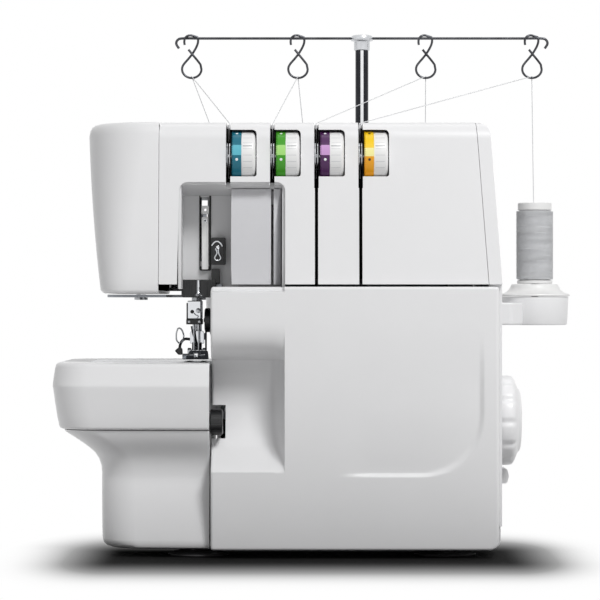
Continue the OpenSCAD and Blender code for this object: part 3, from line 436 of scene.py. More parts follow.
def makeStage():    # the floor carries a painted shadow, dark under a bar below the machine, and shows plain white away from it
    material, tree, shader = newMaterial("matt white floor paint with a painted shadow", studio["floor"], 0.85,
                                         Specular_IOR_Level=0.05)
    noise = addNode(tree, "ShaderNodeTexNoise", {"Vector": objectCoords(tree), "Scale": 900, "Detail": 2.0})
    bump = addNode(tree, "ShaderNodeBump", {"Height": noise, "Distance": 0.05 * mm})
    tree.links.new(bump.outputs["Normal"], shader.inputs["Normal"])
    place = objectCoords(tree)
    for operation, key in (("SUBTRACT", "shadowAt"), ("ABSOLUTE", None), ("SUBTRACT", "shadowBar"),
                           ("MAXIMUM", None), ("DIVIDE", "shadowSize")):
        place = addNode(tree, "ShaderNodeVectorMath", {0: place, 1: studio[key] if key else (0, 0, 0)},
                        operation=operation)
    reach = addNode(tree, "ShaderNodeVectorMath", {0: place}, operation="LENGTH").outputs["Value"]
    # the floor's base colour is a painted shadow: near black under the machine, fading out to white
    tone = addNode(tree, "ShaderNodeValToRGB", {"Fac": reach},
                   [(0.5, linear(studio["shadow"])), (1, linear(studio["floor"]))])
    tree.links.new(tone.outputs["Color"], shader.inputs["Base Color"])
    away = addNode(tree, "ShaderNodeMapRange", {"Value": reach, "From Max": studio["shadowReach"]},
                   interpolation_type="SMOOTHSTEP")
    share = addNode(tree, "ShaderNodeMath", {0: away, 1: seenShare(tree)}, operation="MULTIPLY")
    glow = addNode(tree, "ShaderNodeEmission", {"Color": (1, 1, 1, 1), "Strength": 1.0})
    mixed = addNode(tree, "ShaderNodeMixShader", {0: share, 1: shader, 2: glow})
    tree.links.new(mixed.outputs[0], tree.nodes["Material Output"].inputs["Surface"])
    half = studio["floorHalf"]
    floor = makePiece("floor", [(-half, -half, 0), (half, -half, 0), (half, half, 0), (-half, half, 0)],
                      [(0, 1, 2, 3)], material, merge=False)

    world = bpy.data.worlds.new("studio")
    scene.world = world
    world.use_nodes = True
    tree = world.node_tree
    tree.nodes.clear()
    level = addNode(tree, "ShaderNodeMapRange", {"Value": seenShare(tree), "To Min": studio["world"],
                    "To Max": 1.0})
    glow = addNode(tree, "ShaderNodeBackground", {"Color": (1, 1, 1, 1), "Strength": level})
    addNode(tree, "ShaderNodeOutputWorld", {"Surface": glow})


def addLamp(name, place, target, size, power):
    lamp = bpy.data.lights.new(name, "AREA")
    lamp.shape = "DISK"
    lamp.size = size
    lamp.energy = power
    obj = addObject(name, lamp)
    obj.location = place
    obj.rotation_euler = (Vector(target) - Vector(place)).to_track_quat("-Z", "Y").to_euler()


makeStage()
addLamp("key", (0.78, -1.45, 1.8), (0, -0.05, 0.15), 0.7, studio["key"])
addLamp("fill", (-1.6, -1.6, 0.9), (0, 0, 0.15), 1.6, studio["fill"])
addLamp("rim", (0.05, 0.75, 2.2), (0, 0, 0.1), 1.0, studio["rim"])
print("camera and studio ready")


# casing

casing = {"seam": 184, "top": 294, "front": -108, "leanY": 10, "leanX": 8, "rear": 56, "rearSeam": 30,
          "leftSeam": -110, "rightSeam": 112, "right": 121, "gap": 0.15, "bottom": 5.5, "wall": 2.5,
          "topRadius": (13, 10), "doorStep": -104, "slot": 1.5, "narrowSlot": 1.1,
          "window": {"right": 19.2, "below": 14.2, "above": 17.6}, "leftWall": -72}
slots = [-63.5 + 29.8 * i for i in range(4)]


def frontAt(z):    # depth of the leaning upper front
    return casing["front"] + casing["leanY"] * (z - casing["seam"]) / (casing["top"] - casing["seam"])


def rightAt(z):    # right edge, leaning in above the seam
    above = max(0, z - casing["seam"])
    return casing["rightSeam"] - casing["leanX"] * above / (casing["top"] - casing["seam"])


def sizes(*keys):    # settings of the casing by name
    return [casing[key] for key in keys]


def headShell(name, outline):    # an outline pushed from the face cover to the leaning right end
    left = [(casing["leftSeam"], y, z) for y, z in outline]
    return loftPiece(name, [left, [(rightAt(z) - casing["gap"], y, z) for y, z in outline]], shellAbs)


def makeUpperFront():
    wall, top, seam, front, back = sizes("wall", "top", "seam", "front", "rearSeam")
    radius = casing["topRadius"][0]
    outline = roundedLoop([(front, seam, 0), (frontAt(top), top, radius), (back, top, 0),
                           (back, top - wall, 0), (frontAt(top) + wall, top - wall, radius - 2),
                           (front + wall, seam, 0)], 10)
    shell = headShell("upperFrontCover", outline)
    recess = roundedLoop([(-98.2, 160, 0), (-25, 160, 0), (-25, 253, 6), (-96.4, 253, 6)], 8)
    cutters = [hole(recess, -140, -92, "y")]
    half, narrow, window = casing["slot"], casing["narrowSlot"], casing["window"]
    low, high = dialZ - window["below"], dialZ + window["above"]
    for i, x in enumerate(slots):
        corners = [(x - half, 249, 0), (x + half, 249, 0), (x + half, low, 0),
                   (x + window["right"], low, 1.6), (x + window["right"], high, 3), (x + half, high, 0),
                   (x + half, 302, 0), (x - half, 302, 0)]
        cutters += [hole(roundedLoop(corners, 5), -140, -70, "y"),
                    hole(boxLoop(x - half, x + half, -74, -62), 280, 302, "z")]
        if i > 1:    # the last two slots run on below the dials
            cutters.append(hole(boxLoop(x - narrow, x + narrow, 180, 250), -140, -90, "y"))
    cutters.append(bore(7.2, 0, 30, (-87, -28, 275), "z", 48))
    cutWith(shell, cutters)
    softenEdges(shell, 0.7)
    return settle(shell, "root", "white_shell", "upper_front_cover")


def makeRearCover():
    wall, top, back, rear, left, foot = sizes("wall", "top", "rearSeam", "rear", "leftWall", "bottom")
    low, radius = casing["seam"] - 4, casing["topRadius"][1]
    outline = roundedLoop([(back, top, 0), (rear, top, radius), (rear, low, 3), (back, low, 0),
                           (back, low + wall, 0), (rear - wall, low + wall, 1),
                           (rear - wall, top - wall, radius - 2), (back, top - wall, 0)], 8)
    head = headShell("rearHead", outline)
    body = slab("rearLower", boxLoop(left, casing["rightSeam"] - casing["gap"], foot, 188), back, rear, "y",
                shellAbs)
    cutWith(body, [hole(boxLoop(left + wall, 130, 0, 204), 20, rear - wall, "y")])
    body = cutWith(head, [body], "UNION")
    cutWith(body, [slab("wall", boxLoop(-66, 35, 20, 181), left, left + wall, "x", shellAbs)], "UNION")
    cutters = [hole(boxLoop(-60, 5, 92, 127, 4), -80, -60, "x"),
               bore(7, 0, 10, (-74, 0, 152), "x", 40),
               hole(boxLoop(-93.5, -82.5, 198, 252, 4), 40, 60, "y")]
    cutters += [hole(boxLoop(20 + 7 * i, 23 + 7 * i, 30, 70, 1.4), 40, 60, "y") for i in range(6)]
    cutWith(body, cutters)
    softenEdges(body, 0.8)
    body.name = "rearCover"
    return settle(body, "root", "white_shell", "rear_cover")


def makeEndCover():    # the right-hand end, one moulding from foot to top
    wall, bottom, top, seam, lean = sizes("wall", "bottom", "top", "seam", "leanX")
    front, rear, right, step = sizes("front", "rear", "right", "doorStep")
    left, inner, crown = casing["rightSeam"] + casing["gap"], casing["rightSeam"] - 9, frontAt(top)
    frontRadius, rearRadius = casing["topRadius"]
    side = [(left, bottom, 0), (right, bottom, 5), (right, seam, 0), (right - lean, top, 9),
            (left - lean, top, 0), (left, seam, 0)]
    inside = [(inner, bottom + wall, 0), (right - wall, bottom + wall, 3), (right - wall, seam, 0),
              (right - lean - wall, top - wall, 7), (inner - lean, top - wall, 0), (inner, seam, 0)]
    profile = [(step, bottom, 0), (step, seam, 0), (front, seam, 0), (crown, top, frontRadius),
               (rear, top, rearRadius), (rear, bottom, 5)]
    hollow = [(step + wall, bottom, 0), (step + wall, seam + wall, 0), (front + wall, seam + wall, 0),
              (crown + wall, top - wall, frontRadius - 2), (rear - wall, top - wall, rearRadius - 2),
              (rear - wall, bottom, 3)]
    cover = slab("rightEndCover", roundedLoop(side, 8), -110, rear, "y", shellAbs)
    cutWith(cover, [hole(roundedLoop(profile, 8), 90, 140, "x")], "INTERSECT")
    inner = hole(roundedLoop(inside, 8), -110, rear - wall, "y")
    cutWith(inner, [hole(roundedLoop(hollow, 8), 90, 140, "x")], "INTERSECT")
    cutters = [inner, bore(9, 0, 40, (100, -22, 89), "x", 48),
               hole(boxLoop(-6, 22, 41, 56, 1.5), 110, 130, "x"),
               hole(boxLoop(26, 46, 36, 56, 1.5), 110, 130, "x")]
    cutters += [hole(boxLoop(14, 40, 156 + 7 * i, 159 + 7 * i, 1.4), 110, 130, "x") for i in range(4)]
    cutters += [bore(4.1, 0, 20, (110, 10, z), "x", 32) for z in (124, 150)]
    cutters.append(hole(boxLoop(-110, -91, 0, 21), 100, 130, "x"))
    cutWith(cover, cutters)
    softenEdges(cover, 1.6, segments=4)
    return settle(cover, "root", "white_shell", "right_end_cover")


def bulge(t, depth):    # 0 at both ends, depth in the middle
    return depth * 4 * t * (1 - t)


headEnd = {"leftTop": -160.6, "leftBottom": -150, "bow": 1.4, "bottom": 178, "frontRadius": (19, 43),
           "backRadius": 20, "overlap": 0.25, "frontLimit": -107.4}


def makeFaceCover():    # left end of the head, drawn round in plan
    low, rear, wall = headEnd["bottom"], casing["rear"], casing["wall"]
    rise, seam = casing["top"] - low, casing["leftSeam"] - headEnd["overlap"]
    reach = headEnd["leftTop"] - headEnd["leftBottom"]
    narrow, wide = headEnd["frontRadius"]
    levels = [(0.0, 2.6), (0.7, 1.1), (2.4, 0.0)] + [(z, 0.0) for z in range(8, 106, 7)]
    levels += [(rise - down, inset) for down, inset in ((8, 0.0), (4.5, 0.8), (2, 2.2), (0.6, 4.2), (0, 6.4))]

    def ring(height, inset):
        t = height / rise
        left = headEnd["leftBottom"] + reach * t - bulge(t, headEnd["bow"]) + inset
        front = max(frontAt(low + height), headEnd["frontLimit"]) + inset * 0.9
        radius = narrow + (wide - narrow) * t
        corners = [(seam, front, 0), (seam, rear - inset, 0), (left, rear - inset, headEnd["backRadius"]),
                   (left, front, radius - inset)]
        return [(x, y, low + height) for x, y in roundedLoop(corners, 14)]

    shell = loftPiece("faceCover", [ring(height, inset) for height, inset in levels], shellAbs, 50)
    hollow = [ring(height, wall) for height in (2.6, 20, 40, 60, 80, 100, 113.4)]
    hollow = [[(x + (3 if x > -112 else 0), y, z) for x, y, z in loop] for loop in hollow]
    cutWith(shell, [loftPiece("cut", hollow, shellAbs)])
    softenEdges(shell, 0.6, 40, 2)
    return settle(shell, "root", "white_shell", "face_cover")


table = {"right": -76.1, "turn": 5, "corners": (26, 22), "innerCorners": (23, 19), "wall": 2.5}


def planLoop(z, left, front, right, back, corners, inset=0):
    # level outline, its front receding to the left
    low, high, turned = front + inset, back - inset, front + table["turn"] + inset
    plan = roundedLoop([(right, low, 0), (right, high, 0), (left + inset, high, corners[1]),
                        (left + inset, turned, corners[0])], 12)
    return [(x, y, z) for x, y in plan]


def makeExtensionTable():
    rings = [(86, -177.5, -105.5, 45.5), (86.6, -178.6, -106.4, 46.4), (88, -179.3, -107.1, 46.9),
             (96, -180.9, -107.7, 46.8), (105, -182.2, -108.2, 46.6), (112, -183.1, -108.7, 46.5),
             (114.6, -183.6, -108.9, 46.4), (115.8, -183.6, -108.8, 46.3), (117, -183.5, -108.3, 46.2),
             (123, -182.9, -106.3, 46), (128.2, -182.1, -104.7, 45.8), (129.8, -181.5, -104, 45.5),
             (130.7, -180.3, -102.8, 44.4), (131, -178.9, -101.4, 43)]
    top = loftPiece("extensionTable", [planLoop(z, left, front, table["right"], back, table["corners"])
                                       for z, left, front, back in rings], shellAbs, 50)
    levels = [(88.5, -179.3, -107.1, 46.9), (112, -183.1, -108.7, 46.5), (116, -183.4, -108.6, 46.2),
              (127, -182.4, -105.2, 45.8), (128.5, -181.8, -104.4, 45.6)]
    inner = loftPiece("cut", [planLoop(z, left, front, -70, back, table["innerCorners"], table["wall"])
                              for z, left, front, back in levels], shellAbs)
    cutWith(inner, [hole(boxLoop(-163, -60, -73, 12), 60, 150, "z")])
    cutWith(top, [inner])
    cutWith(top, [hole(boxLoop(-160.5, -60, -70.5, 9.5), 60, 150, "z"),
                  hole(boxLoop(-85, -60, -103, -70), 88.5, 98, "z")])
    softenEdges(top, 0.5, 40, 2)
    return settle(top, "table", "white_shell", "extension_table")


def makeLeftBase():    # pedestal under the table, flared at its top
    rings = [(85.4, -176, -104.6), (84, -175.2, -104.4), (82, -172.2, -103.8), (79, -167.6, -102.6),
             (76, -163.4, -101), (72.5, -158.9, -98.8), (69, -155.4, -96.8), (65, -152.9, -95.2),
             (60, -151.4, -94.3), (55, -151, -94.2), (52, -151, -94.6), (48, -150.9, -95.6),
             (42, -150.8, -97.4), (34, -150.6, -99.4), (26, -150.4, -101.2), (18, -150.2, -102.8),
             (11.5, -149.9, -104), (8.6, -149, -104.3), (6.6, -147, -103.6), (5.7, -144.6, -101.8),
             (5.5, -142, -99)]
    loops = [planLoop(z, left, front, table["right"], 50, (26, 20)) for z, left, front in rings[::-1]]
    base = loftPiece("leftBase", loops, shellAbs, 50)
    softenEdges(base, 0.5, 40, 2)
    return settle(base, "root", "white_shell", "left_base_cover")


makeUpperFront()
makeRearCover()
makeEndCover()
makeFaceCover()
makeExtensionTable()
makeLeftBase()
print("casing ready")


door = {"left": -75, "right": 118.5, "bottom": 5.5, "top": 182.4, "front": -112, "nicheRight": -25.2,
        "nicheFillet": 13, "corners": (2, 6, 2, 2), "edge": 1.7, "wall": 1.7, "ridge": (66.3, 96.9, 42),
        "ridgeDepth": 1.9, "lip": 178, "lipDepth": 7, "rim": 4.5, "notch": (-65.6, 79.6, 102),
        "brackets": ((-50, -32), (50, 67.5))}


def cubic(a, b, c, d, steps):    # points of a cubic curve, first one left out
    return [Vector(a) * (1 - t) ** 3 + Vector(b) * 3 * t * (1 - t) ** 2 + Vector(c) * 3 * t * t * (1 - t)
            + Vector(d) * t ** 3 for t in [k / steps for k in range(1, steps + 1)]]


def doorRows():    # (height, depth of the niche) from foot to top
    rows = [(z, 0) for z in (5.5, 5.7, 6.1, 6.7, 7.4, 9, 14, 22, 30, 38, 46, 49, 50.5, 51.5, 52.5, 53.4, 54.2,
                             55, 56, 57)]
    scoop = [Vector((0, 158))] + cubic((0, 158), (0, 143), (9, 133), (26, 133), 22)
    scoop += cubic((30, 128), (33, 112), (32, 98), (24, 82), 12)
    scoop += cubic((22, 78), (15, 69), (6, 64), (0, 58), 10)
    rows += [(p.y, p.x) for p in scoop[::-1]]
    for z in door["notch"][1:]:    # a row on each side of the notch round the knob
        low = max(row for row in rows if row[0] < z)
        high = min(row for row in rows if row[0] > z)
        rows.append((z, low[1] + (high[1] - low[1]) * (z - low[0]) / (high[0] - low[0])))
    rows.sort(key=lambda row: row[0])
    return rows + [(z, 0) for z in (163, 169, 174, 177.4)] + [
        (door["lip"] + t * 4.4, 0) for t in (0, 0.08, 0.16, 0.24, 0.32, 0.4, 0.5, 0.6, 0.75, 0.86, 0.94, 1)]


def doorColumns():    # closer where the skin turns: left rim, niche wall, ridge and right rim
    columns = [-75, -74.8, -74.4, -73.8, -73, -70, door["notch"][0], -62, -58, -52, -46, -41, -38.2]
    columns += [-38.2 + door["nicheFillet"] * math.sin(math.radians(a)) for a in range(9, 90, 9)]
    columns += [-25.2, -25.02, -24.8, -24.3, -23.4, -20, -12, -4, 4, 10, 14, 18, 24, 32, 40, 48, 56, 62]
    columns += [66 + 2.4 * i for i in range(13)] + [96 + 1.3 * i for i in range(14)]
    return columns + [114.4, 115.6, 116.6, 117.4, 118, 118.35, 118.5]


def smoothStep(low, high, value):
    t = max(0, min(1, (value - low) / (high - low)))
    return t * t * (3 - 2 * t)


def doorDepth(x, z, niche):
    if x <= door["nicheRight"]:
        if z >= door["lip"]:
            rise = door["lipDepth"] * smoothStep(0.6, 2.2, z - door["lip"])
            return niche + rise * smoothStep(0, 1.2, door["nicheRight"] - x)
        across = max(0, (x + 38.2) / door["nicheFillet"])
        return niche * math.sqrt(max(0, 1 - across * across))
    cx, cz, radius = door["ridge"]
    reach = math.hypot(max(x - cx, 0), max(cz - z, 0)) - radius
    if reach >= 0:
        return 0
    fade = smoothStep(10, 34, x) * (1 - smoothStep(112, 156, z))
    return door["ridgeDepth"] * fade * smoothStep(0, 2.4, -reach) * math.exp(reach / 34)


def roundCorner(x, z):    # turns the grid's square corners into arcs, and gives the distance to the rim
    right, high = x > 0, z > 90
    corner = door["corners"][right + 2 * high]
    signX, signZ = 1 if right else -1, 1 if high else -1
    middleX = door["right" if right else "left"] - signX * corner
    middleZ = door["top" if high else "bottom"] - signZ * corner
    u, v = (x - middleX) * signX / corner, (z - middleZ) * signZ / corner
    if u > 0 and v > 0:
        u, v = u * math.sqrt(1 - v * v / 2), v * math.sqrt(1 - u * u / 2)
        return middleX + signX * u * corner, middleZ + signZ * v * corner, (math.hypot(u, v) - 1) * corner
    return x, z, (max(u, v) - 1) * corner


def makeLooperCover():    # one moulding: flat door, round nose, scooped niche and a soft raised border
    rows, columns = doorRows(), doorColumns()
    rows, columns = [rows[0]] + rows + [rows[-1]], [columns[0]] + columns + [columns[-1]]
    verts = []
    for i, (height, niche) in enumerate(rows):
        for j, across in enumerate(columns):
            x, z, rim = roundCorner(across, height)
            edge = door["edge"]
            roll = edge - math.sqrt(max(0, edge * edge - max(0, rim + edge) ** 2))
            deep = doorDepth(x, z, niche) + roll
            # the rim is left off the lower edge where the tray's brackets pass when the door hangs open
            passes = i == 0 and any(low < across < high for low, high in door["brackets"])
            if (i in (0, len(rows) - 1) or j in (0, len(columns) - 1)) and not passes:
                deep += door["rim"]
            verts.append((x, door["front"] + deep, z))
    wide = len(columns)
    right, low, high = door["notch"]
    faces = [(i * wide + j, i * wide + j + 1, (i + 1) * wide + j + 1, (i + 1) * wide + j)
             for i in range(len(rows) - 1) for j in range(wide - 1)
             if not (columns[j + 1] <= right and low <= rows[i][0] and rows[i + 1][0] <= high)]
    skin = makePiece("looperCover", verts, faces, shellAbs, 60)
    bm = bmesh.new()
    bm.from_mesh(skin.data)
    bmesh.ops.dissolve_degenerate(bm, dist=0.000002, edges=bm.edges)
    if sum(face.normal.y * face.calc_area() for face in bm.faces) > 0:
        bmesh.ops.reverse_faces(bm, faces=bm.faces)
    bm.to_mesh(skin.data)
    bm.free()
    wall = skin.modifiers.new("wall", "SOLIDIFY")
    wall.thickness = door["wall"] * mm
    wall.offset = -1
    wall.use_even_offset = False
    bakeModifiers(skin)
    ears = []
    eye = [(2.06, 0), (4.2, 0), (4.2, 8), (2.06, 8)]
    web = roundedLoop([(-110.9, 12, 0.8), (-105.6, 13.2, 0), (-105.6, 18.8, 0), (-110.9, 20, 0.8)])
    for x in (-60, 30, 96):
        ears += [lathe("ear", eye, (x, -104, 16), "x", satinAbs, 40, closed=True),
                 slab("web", web, x, x + 8, "x", satinAbs)]
    # stiffening ribs inside, the upper ones clear of the niche
    for z, low in ((84, -18), (128, -18), (40, -60)):
        ears.append(slab("rib", boxLoop(low, 112, z, z + 1.6, 0.4), -109.9, -107.2, "y", satinAbs))
    bakeModifiers(evenShading(skin))
    cover = joinPieces("looperCover", [skin] + ears)
    return settle(cover, "looper_cover", "white_shell", "looper_cover")


makeLooperCover()
print("looper cover ready")


# the second colour of each pair is a painted highlight on the rings, and the amber a painted shade
dials = {"radius": 17, "bore": 1.62, "ringWidth": 6.4, "faceWidth": 9.6, "start": 2.5, "amberShade": "#F2A60C",
         "colours": {"blue": ("#006B80", "#5FB9CB"), "green": ("#3C9A14", "#A6DE7C"),
                     "purple": ("#4A1852", "#CC9CD2"), "yellow": ("#F8CE0E", "#FBF3A4")}}


def geometryTree(name, sockets):    # an empty geometry tree with named inputs
    tree = bpy.data.node_groups.new(name, "GeometryNodeTree")
    tree.interface.new_socket("Geometry", in_out="INPUT", socket_type="NodeSocketGeometry")
    for label, kind, value in sockets:
        socket = tree.interface.new_socket(label, in_out="INPUT", socket_type="NodeSocket" + kind)
        if value is not None:
            socket.default_value = value
    tree.interface.new_socket("Geometry", in_out="OUTPUT", socket_type="NodeSocketGeometry")
    return tree, addNode(tree, "NodeGroupInput").outputs, addNode(tree, "NodeGroupOutput")


def closeTree(tree, shape, given, end):    # real meshes with their finish are what the tree gives
    real = addNode(tree, "GeometryNodeRealizeInstances", {"Geometry": shape})
    finish = addNode(tree, "GeometryNodeSetMaterial", {"Geometry": real, "Material": given["Finish"]})
    tree.links.new(finish.outputs["Geometry"], end.inputs["Geometry"])
    return tree


def growPiece(name, tree, values, material):    # runs a tree and keeps its result as plain mesh
    obj = addObject(name, bpy.data.meshes.new(name))
    modifier = obj.modifiers.new("build", "NODES")
    modifier.node_group = tree
    for item in tree.interface.items_tree:
        if item.item_type == "SOCKET" and item.in_out == "INPUT" and item.name in values:
            modifier[item.identifier] = values[item.name]
    bakeModifiers(obj, 40)
    if not obj.data.materials:
        obj.data.materials.append(material)
    return obj


def makeRingTree():    # a body repeated round the X axis: ribs, graduation lines or dots
    sockets = [("Count", "Int", 24), ("Radius", "Float", 0.017), ("First Angle", "Float", 0.0),
               ("Last Angle", "Float", 6.2832), ("Centre", "Vector", (0, 0, 0)),
               ("Size", "Vector", (0.001, 0.001, 0.001)), ("Round", "Float", 0.0),
               ("Finish", "Material", None)]
    tree, given, end = geometryTree("things round a dial", sockets)
    line = addNode(tree, "GeometryNodeMeshLine", {"Count": given["Count"]})
    number = addNode(tree, "GeometryNodeInputIndex")
    part = addNode(tree, "ShaderNodeMath", {0: number, 1: given["Count"]}, operation="DIVIDE")
    span = addNode(tree, "ShaderNodeMath", {0: given["Last Angle"], 1: given["First Angle"]},
                   operation="SUBTRACT")
    angle = addNode(tree, "ShaderNodeMath", {0: part, 1: span, 2: given["First Angle"]},
                    operation="MULTIPLY_ADD")
    sine = addNode(tree, "ShaderNodeMath", {0: angle}, operation="SINE")
    cosine = addNode(tree, "ShaderNodeMath", {0: angle}, operation="COSINE")
    ring = addNode(tree, "ShaderNodeCombineXYZ", {"Y": cosine, "Z": sine})
    reach = addNode(tree, "ShaderNodeVectorMath", {0: ring, "Scale": given["Radius"]}, operation="SCALE")
    place = addNode(tree, "ShaderNodeVectorMath", {0: reach, 1: given["Centre"]}, operation="ADD")
    points = addNode(tree, "GeometryNodeSetPosition", {"Geometry": line, "Position": place})
    bar = addNode(tree, "GeometryNodeMeshCube", {"Size": given["Size"]})
    dome = addNode(tree, "GeometryNodeMeshIcoSphere", {"Radius": 0.5, "Subdivisions": 3})
    domeSize = addNode(tree, "GeometryNodeTransform", {"Geometry": dome, "Scale": given["Size"]})
    pick = addNode(tree, "GeometryNodeSwitch", {"Switch": given["Round"], "False": bar, "True": domeSize},
                   input_type="GEOMETRY")
    turn = addNode(tree, "ShaderNodeCombineXYZ", {"X": angle})
    copies = addNode(tree, "GeometryNodeInstanceOnPoints", {"Points": points, "Instance": pick,
                     "Rotation": turn})
    return closeTree(tree, copies, given, end)


ringTree = makeRingTree()


def aroundDial(name, count, radius, first, last, centre, size, finish, domed=False):
    # mm, and degrees from the front
    values = {"Count": count, "Radius": radius * mm, "First Angle": math.radians(first),
              "Last Angle": math.radians(last), "Centre": [c * mm for c in centre],
              "Size": [c * mm for c in size], "Round": 1.0 if domed else 0.0, "Finish": finish}
    return growPiece(name, ringTree, values, finish)


def makeTensionDials():
    y, z, radius, inner = dialY, dialZ, dials["radius"], dials["bore"]
    face = radius - 0.3
    for x, (name, (dark, light)) in zip(slots, dials["colours"].items()):
        # the ring keeps its dye colour, with a lighter band at the front as a painted highlight; the yellow
        # ring also has a painted amber shade below it
        steps = [(0.0, dark), (0.497, light), (0.566, dark)]
        if name == "yellow":
            steps = [(0.0, dark), (0.35, dials["amberShade"]), (0.49, light), (0.545, dark)]
        ringFinish = makeDialRing("dyed, highlight-painted " + name + " acetal", steps)
        low, middle = x + dials["start"], x + dials["start"] + dials["ringWidth"]
        wide, deep = dials["ringWidth"], dials["faceWidth"]
        profile = [(inner, 0), (radius - 1.4, 0), (radius - 0.5, 0.35), (radius, 1.0), (radius, wide - 0.25),
                   (radius - 0.25, wide), (inner, wide)]
        ring = lathe("ring", profile, (low, y, z), "x", ringFinish, 96, closed=True)
        profile = [(inner, 0), (radius - 0.55, 0), (face, 0.2), (face, deep - 2.0),
                   (radius - 0.7, deep - 1.0), (radius - 1.6, deep - 0.25), (radius - 3.0, deep), (6, deep),
                   (5, deep - 1.2), (inner, deep - 1.2)]
        drum = lathe("drum", profile, (middle, y, z), "x", whiteAcetal, 96, closed=True)
        knurl = aroundDial("knurl", 72, radius - 0.15, 0, 360, (low + 0.5, y, z), (0.9, 0.5, 0.55),
                           ringFinish)
        lines = aroundDial("lines", 24, face, 0, 360, (middle + 4.2, y, z), (6.2, 0.1, 0.22), paleInk)
        bold = aroundDial("bold", 4, face, -22, 338, (middle + 4.2, y, z), (6.4, 0.12, 0.5), printInk)
        dots = aroundDial("dots", 5, radius - 0.02, -26, 334, (low + 3.4, y, z), (1.9, 0.3, 1.9),
                          darkDots if name == "yellow" else clearDots, True)
        dial = joinPieces("tensionDial" + name.capitalize(), [ring, drum, knurl, lines, bold, dots])
        settle(dial, "tension_" + name, "dial_" + name, "tension_dial_" + name)


makeTensionDials()
print("tension dials ready")


# needle area

needleArea = {"x": -87, "y": -47, "backWall": -70, "footZ": 132.5}


def roundBox(name, low, high, radius, material, soften=0.4):
    # moulded block with round corners seen from the front
    block = slab(name, boxLoop(low[0], high[0], low[2], high[2], radius), low[1], high[1], "y", material)
    return softenEdges(block, soften, 32, 2) if soften else block


def screwHead(name, x, y, z, radius, material):    # pan head facing the user, with a slot
    profile = [(0.01, 0), (radius * 0.55, 0.05), (radius * 0.9, radius * 0.2), (radius, radius * 0.45),
               (radius, radius * 0.8), (0.01, radius * 0.8)]
    head = lathe(name, profile, (x, y, z), "y", material, 28)
    slot = slab("slot", boxLoop(-radius * 1.2, radius * 1.2, -radius * 0.14, radius * 0.14), -1,
                radius * 0.35, "y", slotBlackAndShade)
    slot.data.transform(Matrix.Rotation(0.5, 4, "Y"))
    slot.data.transform(Matrix.Translation(Vector((x, y, z)) * mm))
    return cutWith(head, [slot])


def makeNeedleSurround():    # black guides round the slot of the take-up lever
    back = needleArea["backWall"]
    liner = slab("liner", boxLoop(-84.0, -75.9, 193.6, 249.0, 1.2), back - 0.9, back + 3, "y", slotBlackAndShade)
    cutWith(liner, [hole(boxLoop(-83.4, -77.2, 196.5, 247.6, 0.6), back - 3, back + 9, "y")])
    softenEdges(liner, 0.2, 32, 2)
    guide = roundBox("guide", (-75.8, back - 6.5, 197.6), (-65.9, back - 0.1, 216.2), 0.9, blackNylon)
    step = roundBox("step", (-74.9, back - 7.4, 199.4), (-67.0, back - 6, 214.2), 0.8, blackNylon, 0.3)
    bend = [(-75.2, back - 8.2, 210.6), (-73.2, back - 8.6, 213.0), (-71.0, back - 8.8, 213.4),
            (-69.0, back - 8.6, 212.0), (-68.0, back - 8.2, 210.2)]
    chevron = tube("chevron", smoothPath(bend, 5), 0.62, chromePlate, 10)
    bend = [(-72.6, back - 8.2, 208.6), (-71.6, back - 8.8, 205.4), (-73.2, back - 8.8, 202.2),
            (-71.2, back - 8.8, 200.4), (-69.0, back - 8.8, 202.0), (-70.4, back - 8.8, 205.2),
            (-70.6, back - 8.2, 208.4)]
    drop = tube("drop", smoothPath(bend, 5), 0.55, chromePlate, 10)
    pin = screwHead("pin", -71.1, back - 8.0, 209.4, 1.3, chromePlate)
    lower = roundBox("lower", (-75.6, back - 5, 184.9), (-69.9, back - 0.1, 194.7), 0.7, blackNylon)
    block = roundBox("block", (-96.0, back - 7.5, 175.2), (-72.6, back - 0.2, 187.4), 1.4, blackNylon)
    # the lever runs here
    cutWith(block, [hole(boxLoop(-83.2, -76.8, 170, 190), back - 4.9, back + 2, "y")])
    ribs = [roundBox("rib", (x, back - 8.3, 176), (x + 1.5, back - 7, 186.6), 0.5, blackNylon, 0.2)
            for x in (-94.4, -90.6, -79.8, -76.2)]
    rod = tube("rod", [Vector((-84.4, back - 9.2, z)) for z in (187, 184, 181, 178.6, 177.3, 176.2)],
               lambda t: 1.35 if t < 0.62 else 1.35 + (t - 0.62) * 6.5, chromePlate, 20)
    side = roundBox("side", (-72.4, back - 3.5, 177), (-68.2, back - 0.2, 184.4), 0.6, castAlloy)
    parts = [liner, guide, step, chevron, drop, pin, lower, block, rod, side] + ribs
    assemble("needleGuides", parts, "root", "black_plastic")


